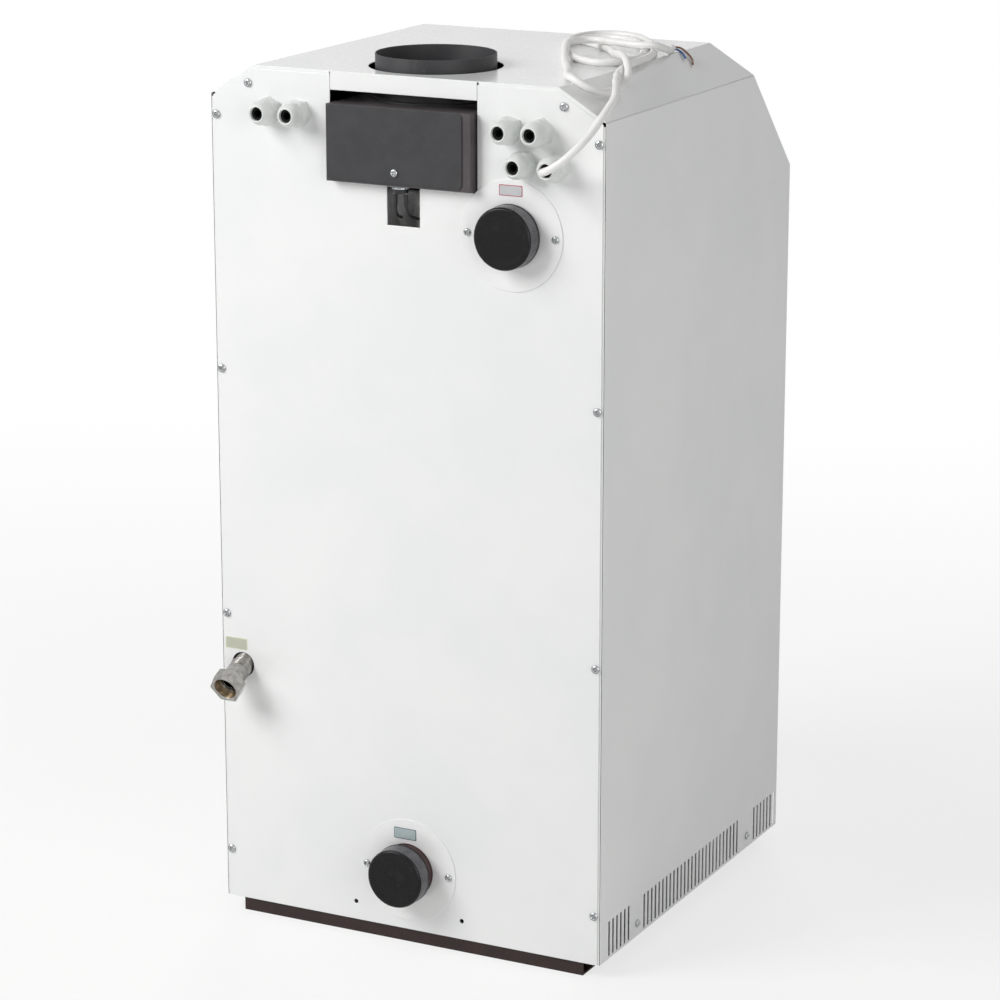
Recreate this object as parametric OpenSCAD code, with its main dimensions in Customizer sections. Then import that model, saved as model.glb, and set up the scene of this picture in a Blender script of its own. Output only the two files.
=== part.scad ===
// Floor-standing gas boiler with an atmospheric burner, standing on its base frame.
// Frame: origin on the floor under the middle, front towards -Y, rear towards +Y, +Z up.
// "Depth" is measured forwards from the rear panel's outer face, heights from the casing's bottom edge.

/* [Casing] */
// Width of the casing
casing_w = 470; // [460:1:520]
// Depth of the side panels
casing_d = 493; // [490:1:540]
// Height of the casing above the base frame
casing_h = 950.7; // [945:0.1:990]
// Thickness of the casing's sheet steel
sheet = 1.2; // [0.8:0.1:1.5]
// Width of the sloping strip along each top edge
chamfer_w = 54.5; // [45:0.5:60]
// Drop of the sloping strip
chamfer_h = 33; // [25:1:40]
// Depth of the front slope
slope_d = 109.5; // [100:0.5:118]
// Height of the front slope
slope_h = 114.7; // [105:0.1:124]
// Width of the flanges folded in behind the rear panel
flange_w = 13; // [11:1:15]
// Strip of flange left in sight round the rear panel
rear_inset = 3.5; // [2:0.5:5]
// Gap between moving sheet parts and the casing
panel_gap = 2.5; // [2:0.1:3.5]

/* [Air slots] */
// Width of a slot
slot_w = 4.6; // [3:0.1:6]
// Height of a slot
slot_h = 40; // [30:1:45]
// Height of the slots' lower ends
slot_z = 3.5; // [3:0.5:8]
// Spacing of the slots
slot_pitch = 10; // [9:0.5:11]

/* [Base frame] */
// Height of the frame's tubes
base_h = 16; // [12:1:30]
// Width of the frame's tubes
rail_w = 25; // [20:1:30]
// Wall of the frame's tubes
rail_wall = 1.5; // [1:0.1:3]
// Distance of the cross tubes' ends from the casing's sides
rail_side = 21.5; // [15:0.5:35]
// Distance of the frame from the casing's front and rear faces
rail_in = 3; // [1:1:10]

/* [Flue] */
// Outer diameter of the flue collar
flue_d = 130; // [110:1:134]
// Wall of the flue collar
flue_wall = 1; // [0.8:0.1:2]
// Height of the collar above the top panel
flue_up = 14; // [10:1:40]
// Sideways place of the collar's axis
flue_side = 6.5; // [0:0.5:12]
// Depth of the collar's axis
flue_depth = 87; // [84:1:90]
// Hole in the top panel round the collar
flue_hole_d = 144; // [140:1:150]
// Width of the draught hood
hood_w = 172; // [170:1:176]
// How far the hood stands out behind the rear panel
hood_out = 12; // [8:1:16]
// Depth of the hood's front wall
hood_front = 160; // [158:1:162]
// Distance of the hood's lower edge below the casing's top
hood_drop = 114.7; // [112.7:0.1:115.7]
// Distance of the hood's top plate below the casing's top
hood_down = 32.7; // [28.7:0.1:36.7]
// Wall of the hood and smoke collector
hood_wall = 1.5; // [1:0.1:2]

/* [Rear panel] */
// Width of the opening for the hood
open_w = 175; // [174:0.5:180]
// Height of the top edge strip that hangs down from the top panel
tab_h = 20; // [15:1:25]
// Width of the notch below the opening
notch_w = 39; // [34:1:44]
// Height of the notch
notch_h = 44; // [36:1:50]
// Side screws' distance from the casing's sides
screw_side = 7.5; // [7:0.1:8]
// Height of the lowest side screws
screw_z = 56.5; // [50:0.5:62]
// Distance of the highest side screws below the casing's top
screw_down = 55.4; // [50:0.1:60]

/* [Water connections] */
// Outer diameter of the two-inch pipes
pipe_d = 60.3; // [48:0.1:62]
// Wall of the pipes
pipe_wall = 3.6; // [3:0.1:5]
// Distance of the supply pipe from the casing's side
supply_side = 107.5; // [105:0.5:115]
// Distance of the supply pipe below the casing's top
supply_down = 157.7; // [152.7:0.1:162.7]
// Height of the return pipe
return_z = 70; // [68:1:76]
// How far the supply pipe's end stands out
supply_out = 20; // [18:1:24]
// How far the return pipe's end stands out
return_out = 30; // [28:1:36]
// Outer diameter of the plastic end caps
cap_d = 68; // [67:0.5:72]
// Length of the end caps
cap_l = 21; // [18:1:22]
// Diameter of the cover discs round the pipes
rosette_d = 118.5; // [116:0.5:120]
// Spacing of each disc's two screws
rosette_screw_pitch = 102.5; // [100:0.5:106]

/* [Cable glands] */
// Distance across the flats of the glands
gland_af = 27; // [26:0.5:29]
// How far the glands stand out
gland_out = 30; // [28:1:33]
// Hole through a gland's seal
seal_hole_d = 8.6; // [8.4:0.1:9.5]
// Mouth of a gland's nut
gland_mouth_d = 14.6; // [14:0.1:15.2]

/* [Gas connection] */
// Distance of the gas connection from the casing's side
gas_side = 27; // [26:0.5:29]
// Height of the hole for the gas connection
gas_z = 278.5; // [270:0.5:290]
// Diameter of the hole for the gas connection
gas_hole_d = 28; // [27:0.5:30]
// Droop of the gas connection below level
gas_droop = 24; // [15:1:26]
// Distance of the union nut's face from the rear panel, along the connection
gas_l = 43.7; // [42:0.1:50]
// Distance across the flats of the union nut
union_af = 33; // [31:0.5:36]
// Bore of the union nut's thread
union_bore_d = 24.5; // [24:0.1:26]
// Outer diameter of the corrugated hose
hose_d = 22; // [20:0.5:23]
// Spacing of the hose's ribs
rib_pitch = 2.4; // [2:0.1:3]

/* [Heat exchanger] */
// Space between the casing's sides and the water jacket
jacket_side = 65; // [60:1:70]
// Space in front of the water jacket
bay_d = 115; // [111:1:117]
// Gap between the rear panel and the water jacket
jacket_in = 58; // [56:1:60]
// Height of the jacket's lower edge
jacket_z = 35; // [32:1:38]
// Distance of the jacket's top plate below the casing's top
jacket_down = 125.7; // [122.7:0.1:126.7]
// Plate of the jacket and firebox
plate = 4; // [3:0.5:5]
// Water gap at the firebox's sides
water_gap = 35; // [30:1:38]
// Water gap at the firebox's front and rear
water_gap_y = 25; // [22:1:26]
// Height of the firebox's crown
crown_z = 430; // [400:5:470]
// Diameter of the smoke tubes
tube_d = 51; // [48:1:54]
// Wall of the smoke tubes
tube_wall = 3; // [2.5:0.1:3.5]
// Thickness of the insulation
wool = 20; // [18:1:22]

/* [Burner] */
// Diameter of a burner tube
burner_d = 30; // [28:1:32]
// Gap between the outer burner tubes and the firebox's sides
burner_side = 11; // [8:0.5:16]
// Number of burner tubes
burner_count = 6; // [4:1:6]
// Height of the burner tubes' axes
burner_z = 135; // [125:1:140]
// Height of the opening in front of the firebox
port_h = 195; // [190:1:200]
// Half side of the square gas manifold
manifold_r = 12.5; // [11:0.5:14]
// Diameter of the ignition and flame electrodes' ceramics
ceramic_d = 8; // [7:0.5:9]

/* [Door and panel] */
// Thickness of the door's tray
door_t = 20; // [18:1:24]
// Height of the plinth below the door
plinth_h = 58; // [50:1:60]
// How far the door's handle stands out
handle_out = 24; // [20:1:30]
// Radius of the door's hinge pins
hinge_r = 4; // [3:0.5:4.5]
// Thickness of the control panel's fascia
fascia_t = 3; // [2.5:0.5:4]
// Diameter of the thermostat knob
knob_d = 40; // [34:1:44]
// Diameter of the push buttons
button_d = 12; // [10:0.5:14]

/* [Mains cord] */
// Diameter of the mains cord
cord_d = 8; // [7:0.1:8]
// Diameter of one core
core_d = 2.2; // [1.8:0.1:2.6]

/* [Fits] */
// Clearance round fixed round parts
slack = 0.3; // [0.2:0.05:0.4]
// Radial play of shafts that turn
play = 0.05; // [0.02:0.01:0.08]

/* [Hidden] */
$fn = 48;

// Colours
white_enamel = "#eceded";
zinc = "#c9ccce";
bare_steel = "#8f9294";
heat_grey = "#454547";
black_plastic = "#26262a";
gland_grey = "#d5dbd6";
brass = "#c0a060";
cord_white = "#dcdcd8";

// Casing
half_w = casing_w / 2;
z0 = base_h;
z_top = z0 + casing_h;
z_eave = z_top - chamfer_h;
slope_l = norm([chamfer_h, chamfer_w]);
nx = chamfer_h / slope_l;
nz = chamfer_w / slope_l;
nut_face_p = gas_l * cos(gas_droop);
rear_out = nut_face_p + union_af / 2 * sin(gas_droop);
rear_y = (casing_d + handle_out - rear_out) / 2;
front_y = rear_y - casing_d;
top_d = casing_d - slope_d;
slope_z = casing_h - chamfer_h - slope_h;
rail_l = casing_w - 2 * rail_side;
hood_z = casing_h - hood_drop;
hood_top = casing_h - hood_down;
notch_z = hood_z - notch_h;
screw_x = half_w - screw_side;
screw_pitch = (casing_h - screw_z - screw_down) / 3;
supply_x = supply_side - half_w;
supply_z = casing_h - supply_down;
gas_x = half_w - gas_side;
eps = 0.01;
screw_d = 5;
screw_head_d = 9.3;
screw_head_h = 2.8;
screw_hole_d = 5.6;
side_screw_depths = [96, casing_d - 90.5];
side_screw_z = 15.5;
vent_groups = [[24, 6], [115, floor((casing_d - 221) / slot_pitch)], [casing_d - 68, 7]];
gland_z = [casing_h - 47.2, casing_h - 81.8];
gland_places = [
  [half_w - 74.5, gland_z[0]], [half_w - 109.8, gland_z[0]], [109.4 - half_w, gland_z[0]],
  [73.7 - half_w, gland_z[0]], [92.6 - half_w, gland_z[1]], [54.7 - half_w, gland_z[1]]
];
jacket_w = casing_w - 2 * jacket_side;
jacket_half = jacket_w / 2;
jacket_front = casing_d - bay_d;
jacket_top = casing_h - jacket_down;
small_hole_x = 66.5;
small_hole_z = 21.3;

// Turns an outline of [y, z] points into a sheet of width w, centred on x
module profile_x(points, x, w) {
  translate([x - w / 2, 0, 0]) rotate([90, 0, 90]) linear_extrude(w) polygon(points);
}

// Places a child with its own +Z pointing straight out of the rear panel, depth forwards of it
module on_rear(x, z, depth = 0) {
  translate([x, rear_y - depth, z0 + z]) rotate([-90, 0, 0]) children();
}

// Places a child with its own +Z pointing forwards
module facing_front(x, z, depth) {
  translate([x, rear_y - depth, z0 + z]) rotate([90, 0, 0]) children();
}

// A box given by its x range, its depth range and its height range
module block(x, depth, z) {
  translate([x[0], rear_y - depth[1], z0 + z[0]])
    cube([x[1] - x[0], depth[1] - depth[0], z[1] - z[0]]);
}

// The casing's outline seen from the rear, drawn in by e on every side but the bottom
function outline(e) = [
  [-(half_w - e), 0],
  [half_w - e, 0],
  [half_w - e, casing_h - chamfer_h - e * (1 - nx) / nz],
  [half_w - chamfer_w - e * (1 - nz) / nx, casing_h - e],
  [-(half_w - chamfer_w - e * (1 - nz) / nx), casing_h - e],
  [-(half_w - e), casing_h - chamfer_h - e * (1 - nx) / nz]
];

// A sheet of thickness t with that outline, its rear face at the given depth
module outline_sheet(e, depth, t) {
  translate([0, rear_y - depth, z0]) rotate([90, 0, 0]) linear_extrude(t) polygon(outline(e));
}

// ---- base and casing ----

module rail_tube(l) {
  difference() {
    translate([-l / 2, -rail_w / 2, 0]) cube([l, rail_w, base_h]);
    translate([-l / 2 - 1, -rail_w / 2 + rail_wall, rail_wall])
      cube([l + 2, rail_w - 2 * rail_wall, base_h - 2 * rail_wall]);
  }
}

module base_frame() {
  side_l = casing_d - 2 * rail_in - 2 * rail_w;
  mid_y = rear_y - casing_d / 2;
  color("#3a2f2c") {
    for (s = [-1, 1]) {
      translate([0, mid_y + s * (side_l + rail_w) / 2, 0]) rail_tube(rail_l);
      translate([s * (rail_l - rail_w) / 2, mid_y, 0]) rotate([0, 0, 90]) rail_tube(side_l);
    }
  }
}

module floor_pan() {
  lip = 12;
  tab_w = 26;
  tab_up = 30;
  inner = half_w - sheet;
  color(white_enamel) difference() {
    union() {
      block([-inner, inner], [2 * sheet, casing_d - 8], [0, sheet]);
      block([-inner + flange_w, inner - flange_w], [2 * sheet, 3 * sheet], [0, lip]);
      for (s = [-1, 1], d = side_screw_depths)
        block(s > 0 ? [inner - sheet, inner] : [-inner, -inner + sheet], [d - tab_w / 2, d + tab_w / 2], [0, tab_up]);
    }
    side_screw_holes();
  }
}

module side_screw_holes() {
  for (d = side_screw_depths)
    translate([0, rear_y - d, z0 + side_screw_z]) rotate([0, 90, 0])
      cylinder(d = screw_hole_d, h = 2 * casing_w, center = true);
}

// The side panel on the +X side: a plate with air slots and a flange folded in at the rear
module side_panel() {
  color(white_enamel) difference() {
    union() {
      profile_x([
        [rear_y - sheet, z0], [rear_y - sheet, z_eave], [rear_y - top_d, z_eave],
        [front_y, z0 + slope_z], [front_y, z0]
      ], half_w - sheet / 2, sheet);
      block([half_w - flange_w, half_w - sheet / 2], [sheet, 2 * sheet], [sheet, casing_h - chamfer_h - 4]);
    }
    for (g = vent_groups, i = [0 : g[1] - 1])
      translate([half_w - sheet - 1, rear_y - g[0] - i * slot_pitch - slot_w / 2, z0 + slot_z])
        cube([sheet + 2, slot_w, slot_h]);
    side_screw_holes();
    rear_screw_holes();
  }
}

module side_panel_left() {
  mirror([1, 0, 0]) side_panel();
}

module side_panel_right() {
  side_panel();
}

function rear_screws() = [
  for (s = [-1, 1], i = [0 : 3]) [s * screw_x, screw_z + i * screw_pitch]
];

function corner_screws() = [for (s = [-1, 1]) [s * (half_w - chamfer_w + 6.8), casing_h - 19.2]];

module rear_screw_holes() {
  for (p = concat(rear_screws(), corner_screws()))
    on_rear(p[0], p[1], 4) cylinder(d = screw_hole_d, h = 8);
}

module rosette_screw_holes(depth) {
  for (c = [[supply_x, supply_z], [0, return_z]], s = [-1, 1])
    on_rear(c[0] + s * rosette_screw_pitch / 2, c[1], depth) cylinder(d = screw_hole_d, h = 2 * depth + 8);
}

module rear_panel() {
  color(white_enamel) difference() {
    outline_sheet(rear_inset, 0, sheet);
    block([-open_w / 2, open_w / 2], [-1, 5], [hood_z - 2, casing_h + 1]);
    block([-notch_w / 2, notch_w / 2], [-1, 5], [notch_z, hood_z]);
    rear_screw_holes();
    rosette_screw_holes(3);
    on_rear(supply_x, supply_z, 3) cylinder(d = pipe_d + 6, h = 6);
    on_rear(0, return_z, 3) cylinder(d = pipe_d + 6, h = 6);
    on_rear(gas_x, gas_z, 3) cylinder(d = gas_hole_d, h = 6);
    for (p = gland_places) on_rear(p[0], p[1], 3) cylinder(d = gland_thread_d + 2 * slack, h = 6);
    for (s = [-1, 1]) on_rear(s * small_hole_x, small_hole_z, 3) cylinder(d = 5, h = 6);
  }
}

module top_panel() {
  fold_in = sheet / nx;
  top_in = sheet * (1 - nz) / nx;
  relief = 5;
  color(white_enamel) difference() {
    union() {
      translate([0, rear_y - sheet, 0]) rotate([90, 0, 0]) linear_extrude(top_d - sheet) polygon([
        [-half_w, z_eave], [-half_w + chamfer_w, z_top], [half_w - chamfer_w, z_top], [half_w, z_eave],
        [half_w - fold_in, z_eave], [half_w - chamfer_w - top_in, z_top - sheet],
        [-half_w + chamfer_w + top_in, z_top - sheet], [-half_w + fold_in, z_eave]
      ]);
      // flange behind the rear panel
      difference() {
        outline_sheet(0, sheet, sheet);
        outline_sheet(chamfer_h - 5, 0, 4 * sheet);
        block([-half_w - 1, half_w + 1], [0, 4 * sheet], [-1, casing_h - chamfer_h]);
        for (s = [-1, 1]) translate([s * half_w, rear_y, z_eave]) cube([2 * relief, 10, 2 * relief], center = true);
      }
      // front end of the top
      difference() {
        outline_sheet(0, top_d - sheet, sheet);
        block([-half_w - 1, half_w + 1], [0, casing_d], [-1, casing_h - chamfer_h]);
      }
      // strip that hangs down over the hood's opening
      block([-open_w / 2 + 0.5, open_w / 2 - 0.5], [0, sheet], [casing_h - tab_h, casing_h]);
      block([-open_w / 2 + 0.5, open_w / 2 - 0.5], [0, 2 * sheet], [casing_h - sheet, casing_h]);
    }
    translate([flue_side, rear_y - flue_depth, z_top - 10]) cylinder(d = flue_hole_d, h = 20, $fn = 96);
    rear_screw_holes();
    block([-open_w / 2 - 1, open_w / 2 + 1], [sheet, 3 * sheet], [0, casing_h - sheet]);
  }
}

module front_plinth() {
  inner = half_w - sheet;
  gap = slack;
  color(white_enamel) difference() {
    union() {
      block([-inner + gap, inner - gap], [casing_d - 8, casing_d - 8 + sheet], [0, plinth_h]);
      block([-inner + gap, inner - gap], [casing_d - 25, casing_d - 8 + sheet], [plinth_h - sheet, plinth_h]);
      for (s = [-1, 1]) translate([s * (inner - gap - sheet / 2), 0, 0])
        block([-sheet / 2, sheet / 2], [casing_d - 30, casing_d - 8], [slot_h + 8, plinth_h]);
    }
    for (i = [-16 : 16])
      block([i * slot_pitch - slot_w / 2, i * slot_pitch + slot_w / 2], [casing_d - 12, casing_d], [slot_z + 4, slot_z + slot_h]);
  }
}

// A pan-head screw standing on z = 0, its shank going down
module pan_screw(d, head_d, head_h, l) {
  difference() {
    union() {
      cylinder(d = head_d, h = head_h * 0.6);
      translate([0, 0, head_h * 0.6]) cylinder(d1 = head_d, d2 = head_d * 0.62, h = head_h * 0.4);
      translate([0, 0, -l]) cylinder(d = d, h = l + eps);
    }
    for (a = [0, 90]) rotate([0, 0, a]) translate([-head_d * 0.24, -0.55, head_h - 1.5]) cube([head_d * 0.48, 1.1, 2]);
  }
}

module casing_screws() {
  color(zinc) {
    for (p = concat(rear_screws(), corner_screws()))
      on_rear(p[0], p[1]) pan_screw(screw_d, screw_head_d, screw_head_h, 12);
    for (c = [[supply_x, supply_z], [0, return_z]], s = [-1, 1])
      on_rear(c[0] + s * rosette_screw_pitch / 2, c[1], -sheet) pan_screw(screw_d, 8, 2.6, 10);
    for (s = [-1, 1], d = side_screw_depths)
      translate([s * half_w, rear_y - d, z0 + side_screw_z]) rotate([0, s * 90, 0])
        pan_screw(screw_d, screw_head_d, screw_head_h, 10);
    on_rear(3.6, hood_z + 14.4, -hood_out - hood_cover_t) pan_screw(4, 8.4, 2.6, 9);
  }
}

// ---- door, plinth and control panel ----

door_bottom = plinth_h + 5;
door_top = slope_z - 5;
door_half = half_w - sheet - panel_gap;
pivot_in = 9;
pivot_x = -(door_half - pivot_in);
pivot_y = front_y + pivot_in;
bush_r = 7;
bush_l = 9;
bracket_t = 3;
bracket_gap = 0.5;

// The door's plan, drawn in by e: its hinge edge is rounded about the hinge pins
module door_plan(e) {
  translate([pivot_x, pivot_y]) circle(r = pivot_in - e, $fn = 48);
  translate([pivot_x, front_y + e]) square([2 * door_half - pivot_in - e, door_t - 2 * e]);
  translate([-door_half + e, pivot_y]) square([pivot_in, door_t - pivot_in - e]);
}

module front_door() {
  color(white_enamel) difference() {
    union() {
      difference() {
        translate([0, 0, z0 + door_bottom]) linear_extrude(door_top - door_bottom) door_plan(0);
        translate([0, 0, z0 + door_bottom + sheet]) linear_extrude(door_top - door_bottom - 2 * sheet) door_plan(sheet);
        // the tray's open back
        translate([pivot_x + 12, front_y + door_t - 3, z0 + door_bottom + 12])
          cube([2 * door_half - pivot_in - 24, 10, door_top - door_bottom - 24]);
      }
      for (z = [door_bottom + sheet / 2, door_top - sheet / 2 - bush_l])
        translate([pivot_x, pivot_y, z0 + z]) cylinder(r = bush_r, h = bush_l);
    }
    translate([pivot_x, pivot_y, z0 + door_bottom - 1]) cylinder(r = hinge_r + play, h = door_top - door_bottom + 2);
  }
}

module door_handle() {
  bar_z = [door_top - 278, door_top - 158];
  bar_x = door_half - 34;
  color(heat_grey) {
    translate([bar_x, front_y - handle_out + 5, z0 + bar_z[0]]) cylinder(r = 5, h = bar_z[1] - bar_z[0]);
    for (z = [bar_z[0] + 12, bar_z[1] - 12]) difference() {
      facing_front(bar_x, z, casing_d) cylinder(r = 4, h = handle_out - 5);
      translate([bar_x, front_y - handle_out + 5, z0 + z - 6]) cylinder(r = 5, h = 12);
    }
  }
}

module hinge_brackets() {
  wall_x = -half_w + sheet;
  reach = pivot_x - wall_x + 12;
  color(bare_steel) for (s = [0, 1]) {
    plate_z = s == 0 ? door_bottom - bracket_gap - bracket_t : door_top + bracket_gap;
    leg_z = s == 0 ? [plate_z, plate_z + 18] : [plate_z - 15, plate_z + bracket_t];
    difference() {
      union() {
        block([wall_x, wall_x + reach], [casing_d - 40, casing_d - 1], [plate_z, plate_z + bracket_t]);
        block([wall_x, wall_x + bracket_t], [casing_d - 40, casing_d - 22], leg_z);
      }
      translate([pivot_x, pivot_y, z0 + plate_z - 1]) cylinder(r = hinge_r + play, h = bracket_t + 2);
    }
  }
}

module hinge_pins() {
  pin_l = bush_l + bracket_t + bracket_gap;
  color(zinc) for (s = [0, 1]) {
    head_z = s == 0 ? door_bottom - bracket_gap - bracket_t : door_top + bracket_gap + bracket_t;
    translate([pivot_x, pivot_y, z0 + head_z]) mirror([0, 0, s]) {
      translate([0, 0, -1.5]) cylinder(r = hinge_r + 2, h = 1.5);
      cylinder(r = hinge_r, h = pin_l - 1);
    }
  }
}

module door_catch() {
  face = front_y + door_t + 0.4;
  color(black_plastic) translate([half_w - sheet - 24, face, z0 + door_top - 238]) difference() {
    cube([24, 22, 46]);
    translate([-1, -1, 12]) cube([3, 8, 22]);
  }
}

slope_a = atan2(z_eave - z0 - slope_z, casing_d - top_d);
fascia_half = half_w - sheet - slack;
fascia_mid = [rear_y - (casing_d + top_d) / 2, (z0 + slope_z + z_eave) / 2];
fascia_h = fascia_t / sin(slope_a);

// Places a child on the sloping fascia: +Y up the slope, +Z out of it
module on_fascia(x, v = 0, w = 0) {
  translate([0, fascia_mid[0], fascia_mid[1]]) rotate([slope_a, 0, 0]) translate([x, v, w]) children();
}

knob_x = -150;
display_x = -30;
display_size = [84, 40];
rocker_x = 150;
rocker_size = [19, 13];
button_x = [50, 72, 94];
button_clear = 0.35;
knob_h = 16;
spindle_r = 3;

module control_fascia() {
  color("#3c4044") difference() {
    union() {
      profile_x([
        [front_y, z0 + slope_z], [rear_y - top_d, z_eave],
        [rear_y - top_d + fascia_h, z_eave], [front_y + fascia_h, z0 + slope_z]
      ], 0, 2 * fascia_half);
      on_fascia(rocker_x, 0, 0) translate([-14, -18, -fascia_t]) cube([28, 36, fascia_t + 1.5]);
      on_fascia(knob_x, 0, -12) cylinder(r = spindle_r + 4, h = 12 - fascia_t / 2);
    }
    on_fascia(display_x, 0, -fascia_t - 1) translate([-display_size[0] / 2 - 0.2, -display_size[1] / 2 - 0.2, 0])
      cube([display_size[0] + 0.4, display_size[1] + 0.4, 20]);
    on_fascia(rocker_x, 0, -20) translate([-rocker_size[0] / 2 - slack, -rocker_size[1] - slack, 0])
      cube([rocker_size[0] + 2 * slack, 2 * rocker_size[1] + 2 * slack, 30]);
    for (x = button_x) on_fascia(x, 0, -20) cylinder(d = button_d + 2 * button_clear, h = 30);
    on_fascia(knob_x, 0, -20) cylinder(r = spindle_r + play, h = 30);
  }
}

module display_window() {
  color("#10161c") on_fascia(display_x, 0, -fascia_t) {
    translate([-display_size[0] / 2, -display_size[1] / 2, 0]) cube([display_size[0], display_size[1], fascia_t - 0.4]);
    translate([-display_size[0] / 2 - 3, -display_size[1] / 2 - 3, -1.5]) cube([display_size[0] + 6, display_size[1] + 6, 1.45]);
    translate([-display_size[0] / 2, -display_size[1] / 2, -0.1]) cube([display_size[0], display_size[1], 0.2]);
  }
}

module thermostat_knob() {
  color(black_plastic) on_fascia(knob_x, 0, 0.4) {
    difference() {
      union() {
        cylinder(d = knob_d, h = 5, $fn = 72);
        translate([0, 0, 5]) cylinder(d1 = knob_d - 6, d2 = knob_d - 9, h = knob_h - 5, $fn = 72);
      }
      translate([-0.8, knob_d / 2 - 10, knob_h - 1]) cube([1.6, 12, 3]);
      for (i = [0 : 17]) rotate([0, 0, i * 20]) translate([knob_d / 2 + 0.6, 0, -1]) cylinder(r = 1.6, h = 7, $fn = 16);
    }
    translate([0, 0, -16]) cylinder(r = spindle_r, h = 16 + eps);
    translate([0, 0, -14.9]) cylinder(r = spindle_r + 2.5, h = 2);
  }
}

// The rocker tips about its own middle, across the slope
module rocker_switch() {
  w = rocker_size[0] / 2;
  l = rocker_size[1];
  color(black_plastic) on_fascia(rocker_x, 0, 0) translate([-w, 0, 0]) rotate([90, 0, 90]) linear_extrude(2 * w)
    polygon([[-l + 1.2, -2.5], [-l + 1.2, 2.2], [0, 0.8], [l - 1.2, 4.4], [l - 1.2, -2.5], [0, -5]]);
}

module push_button(x) {
  color("#c8ccd0") on_fascia(x, 0, 0) {
    translate([0, 0, -fascia_t]) cylinder(d = button_d, h = fascia_t + 1.6);
    translate([0, 0, 1.6]) cylinder(d1 = button_d, d2 = button_d - 2, h = 0.8);
    translate([0, 0, -fascia_t - 2]) cylinder(d = button_d + 4, h = 1.6);
    translate([0, 0, -fascia_t - 0.6]) cylinder(d = button_d, h = 0.8);
  }
}

module button_minus() {
  push_button(button_x[0]);
}

module button_plus() {
  push_button(button_x[1]);
}

module button_mode() {
  push_button(button_x[2]);
}

box_half = [half_w - 45, 0.29 * norm([slope_d, slope_h])];
box_top = -22;
box_t = 2;
box_depth = 30;

module control_box() {
  color("#2f3338") on_fascia(0, 0, box_top - box_depth) difference() {
    translate([-box_half[0], -box_half[1], 0]) cube([2 * box_half[0], 2 * box_half[1], box_depth]);
    translate([-box_half[0] + box_t, -box_half[1] + box_t, box_t])
      cube([2 * (box_half[0] - box_t), 2 * (box_half[1] - box_t), box_depth]);
  }
  // legs that carry the box on the fascia
  color("#2f3338") for (x = [-box_half[0] + 5, 0.1 * box_half[0], box_half[0] - 5], v = [-1, 1])
    on_fascia(x, v * (box_half[1] - 5), box_top) translate([-5, -5, -1]) cube([10, 10, 1 - box_top - fascia_t - 0.05]);
}

module control_board() {
  board_w = box_half[0] - box_t - 3;
  color("#2d6a3c") on_fascia(0, 0, box_top - box_depth + box_t + 6) {
    translate([-board_w, -box_half[1] + box_t + 3, 0]) cube([2 * board_w, 2 * (box_half[1] - box_t - 3), 1.6]);
    for (x = [-board_w + 8, board_w - 8], v = [-1, 1])
      translate([x, v * (box_half[1] - box_t - 11), -6]) cylinder(r = 3, h = 6 + eps);
    for (i = [0 : 5]) translate([-board_w + 24 + i * 22, -box_half[1] + 12, 1.6 - eps]) cube([16, 12, 10]);
    for (x = [20, 60, 100]) translate([x, 6, 1.6 - eps]) cylinder(r = 7, h = 15);
    translate([118, -26, 1.6 - eps]) cube([36, 40, 18]);
  }
}

// ---- flue ----

hood_cover_t = 1.2;
collar_low = hood_top;
tube_pitch = [(jacket_w - 130) / 3, 65];
tube_rows = floor((jacket_front - 60 - hood_front - 27) / tube_pitch[1]);
tube_x = [for (k = [-1.5 : 1.5]) k * tube_pitch[0]];
tube_depths = [for (i = [tube_rows : -1 : 0]) jacket_front - 60 - i * tube_pitch[1]];
collector_half = jacket_half - 25;
collector_front = jacket_front - 28;
collector_top = hood_top - 13;
duct_w = 140;

module hood_body() {
  w = hood_w / 2;
  t = hood_wall;
  color(heat_grey) difference() {
    union() {
      block([-w, w], [-hood_out, hood_front], [hood_z, hood_top]);
      block([-w, w], [jacket_in + 6, hood_front], [jacket_top, hood_z + eps]);
    }
    block([-w + t, w - t], [-hood_out + t, hood_front - t], [hood_z + t, hood_top - t]);
    block([-w + t, w - t], [jacket_in + 6 + t, hood_front - t], [jacket_top - 1, hood_z + 2 * t]);
    translate([flue_side, rear_y - flue_depth, z0 + hood_top - 10]) cylinder(d = flue_d - 2 * flue_wall, h = 20, $fn = 96);
    block([-duct_w / 2, duct_w / 2], [hood_front - 5, hood_front + 5], [jacket_top + 12, collector_top - 12]);
    on_rear(3.6, hood_z + 14.4, -hood_out + 6) cylinder(d = 4 + 2 * slack, h = 10);
    // air opening at the rear under the cover
    block([-w + 20, w - 36], [-hood_out - 1, -hood_out + 5], [hood_z + 30, hood_top - 20]);
  }
}

module hood_cover() {
  w = hood_w / 2;
  cover_l = w - 10;
  r = 6;
  z_low = hood_z + 2;
  color(heat_grey) difference() {
    union() {
      block([-cover_l, w - 1], [-hood_out - hood_cover_t, -hood_out], [z_low + r, hood_top - r]);
      block([-cover_l + r, w - 1 - r], [-hood_out - hood_cover_t, -hood_out], [z_low, hood_top]);
      for (x = [-cover_l + r, w - 1 - r], z = [z_low + r, hood_top - r])
        on_rear(x, z, -hood_out) cylinder(r = r, h = hood_cover_t);
    }
    on_rear(3.6, hood_z + 14.4, -hood_out + 1) cylinder(d = 4 + 2 * slack, h = 6);
  }
}

module flue_collar() {
  r = flue_d / 2;
  low = z0 + collar_low;
  high = z_top + flue_up;
  color(heat_grey) translate([flue_side, rear_y - flue_depth, 0]) rotate_extrude($fn = 96) polygon([
    [r - flue_wall, low], [r + 5, low], [r + 5, low + 1.5], [r, low + 1.5],
    [r, high - 0.4], [r - 0.3, high], [r - flue_wall + 0.3, high], [r - flue_wall, high - 0.4]
  ]);
}

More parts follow.
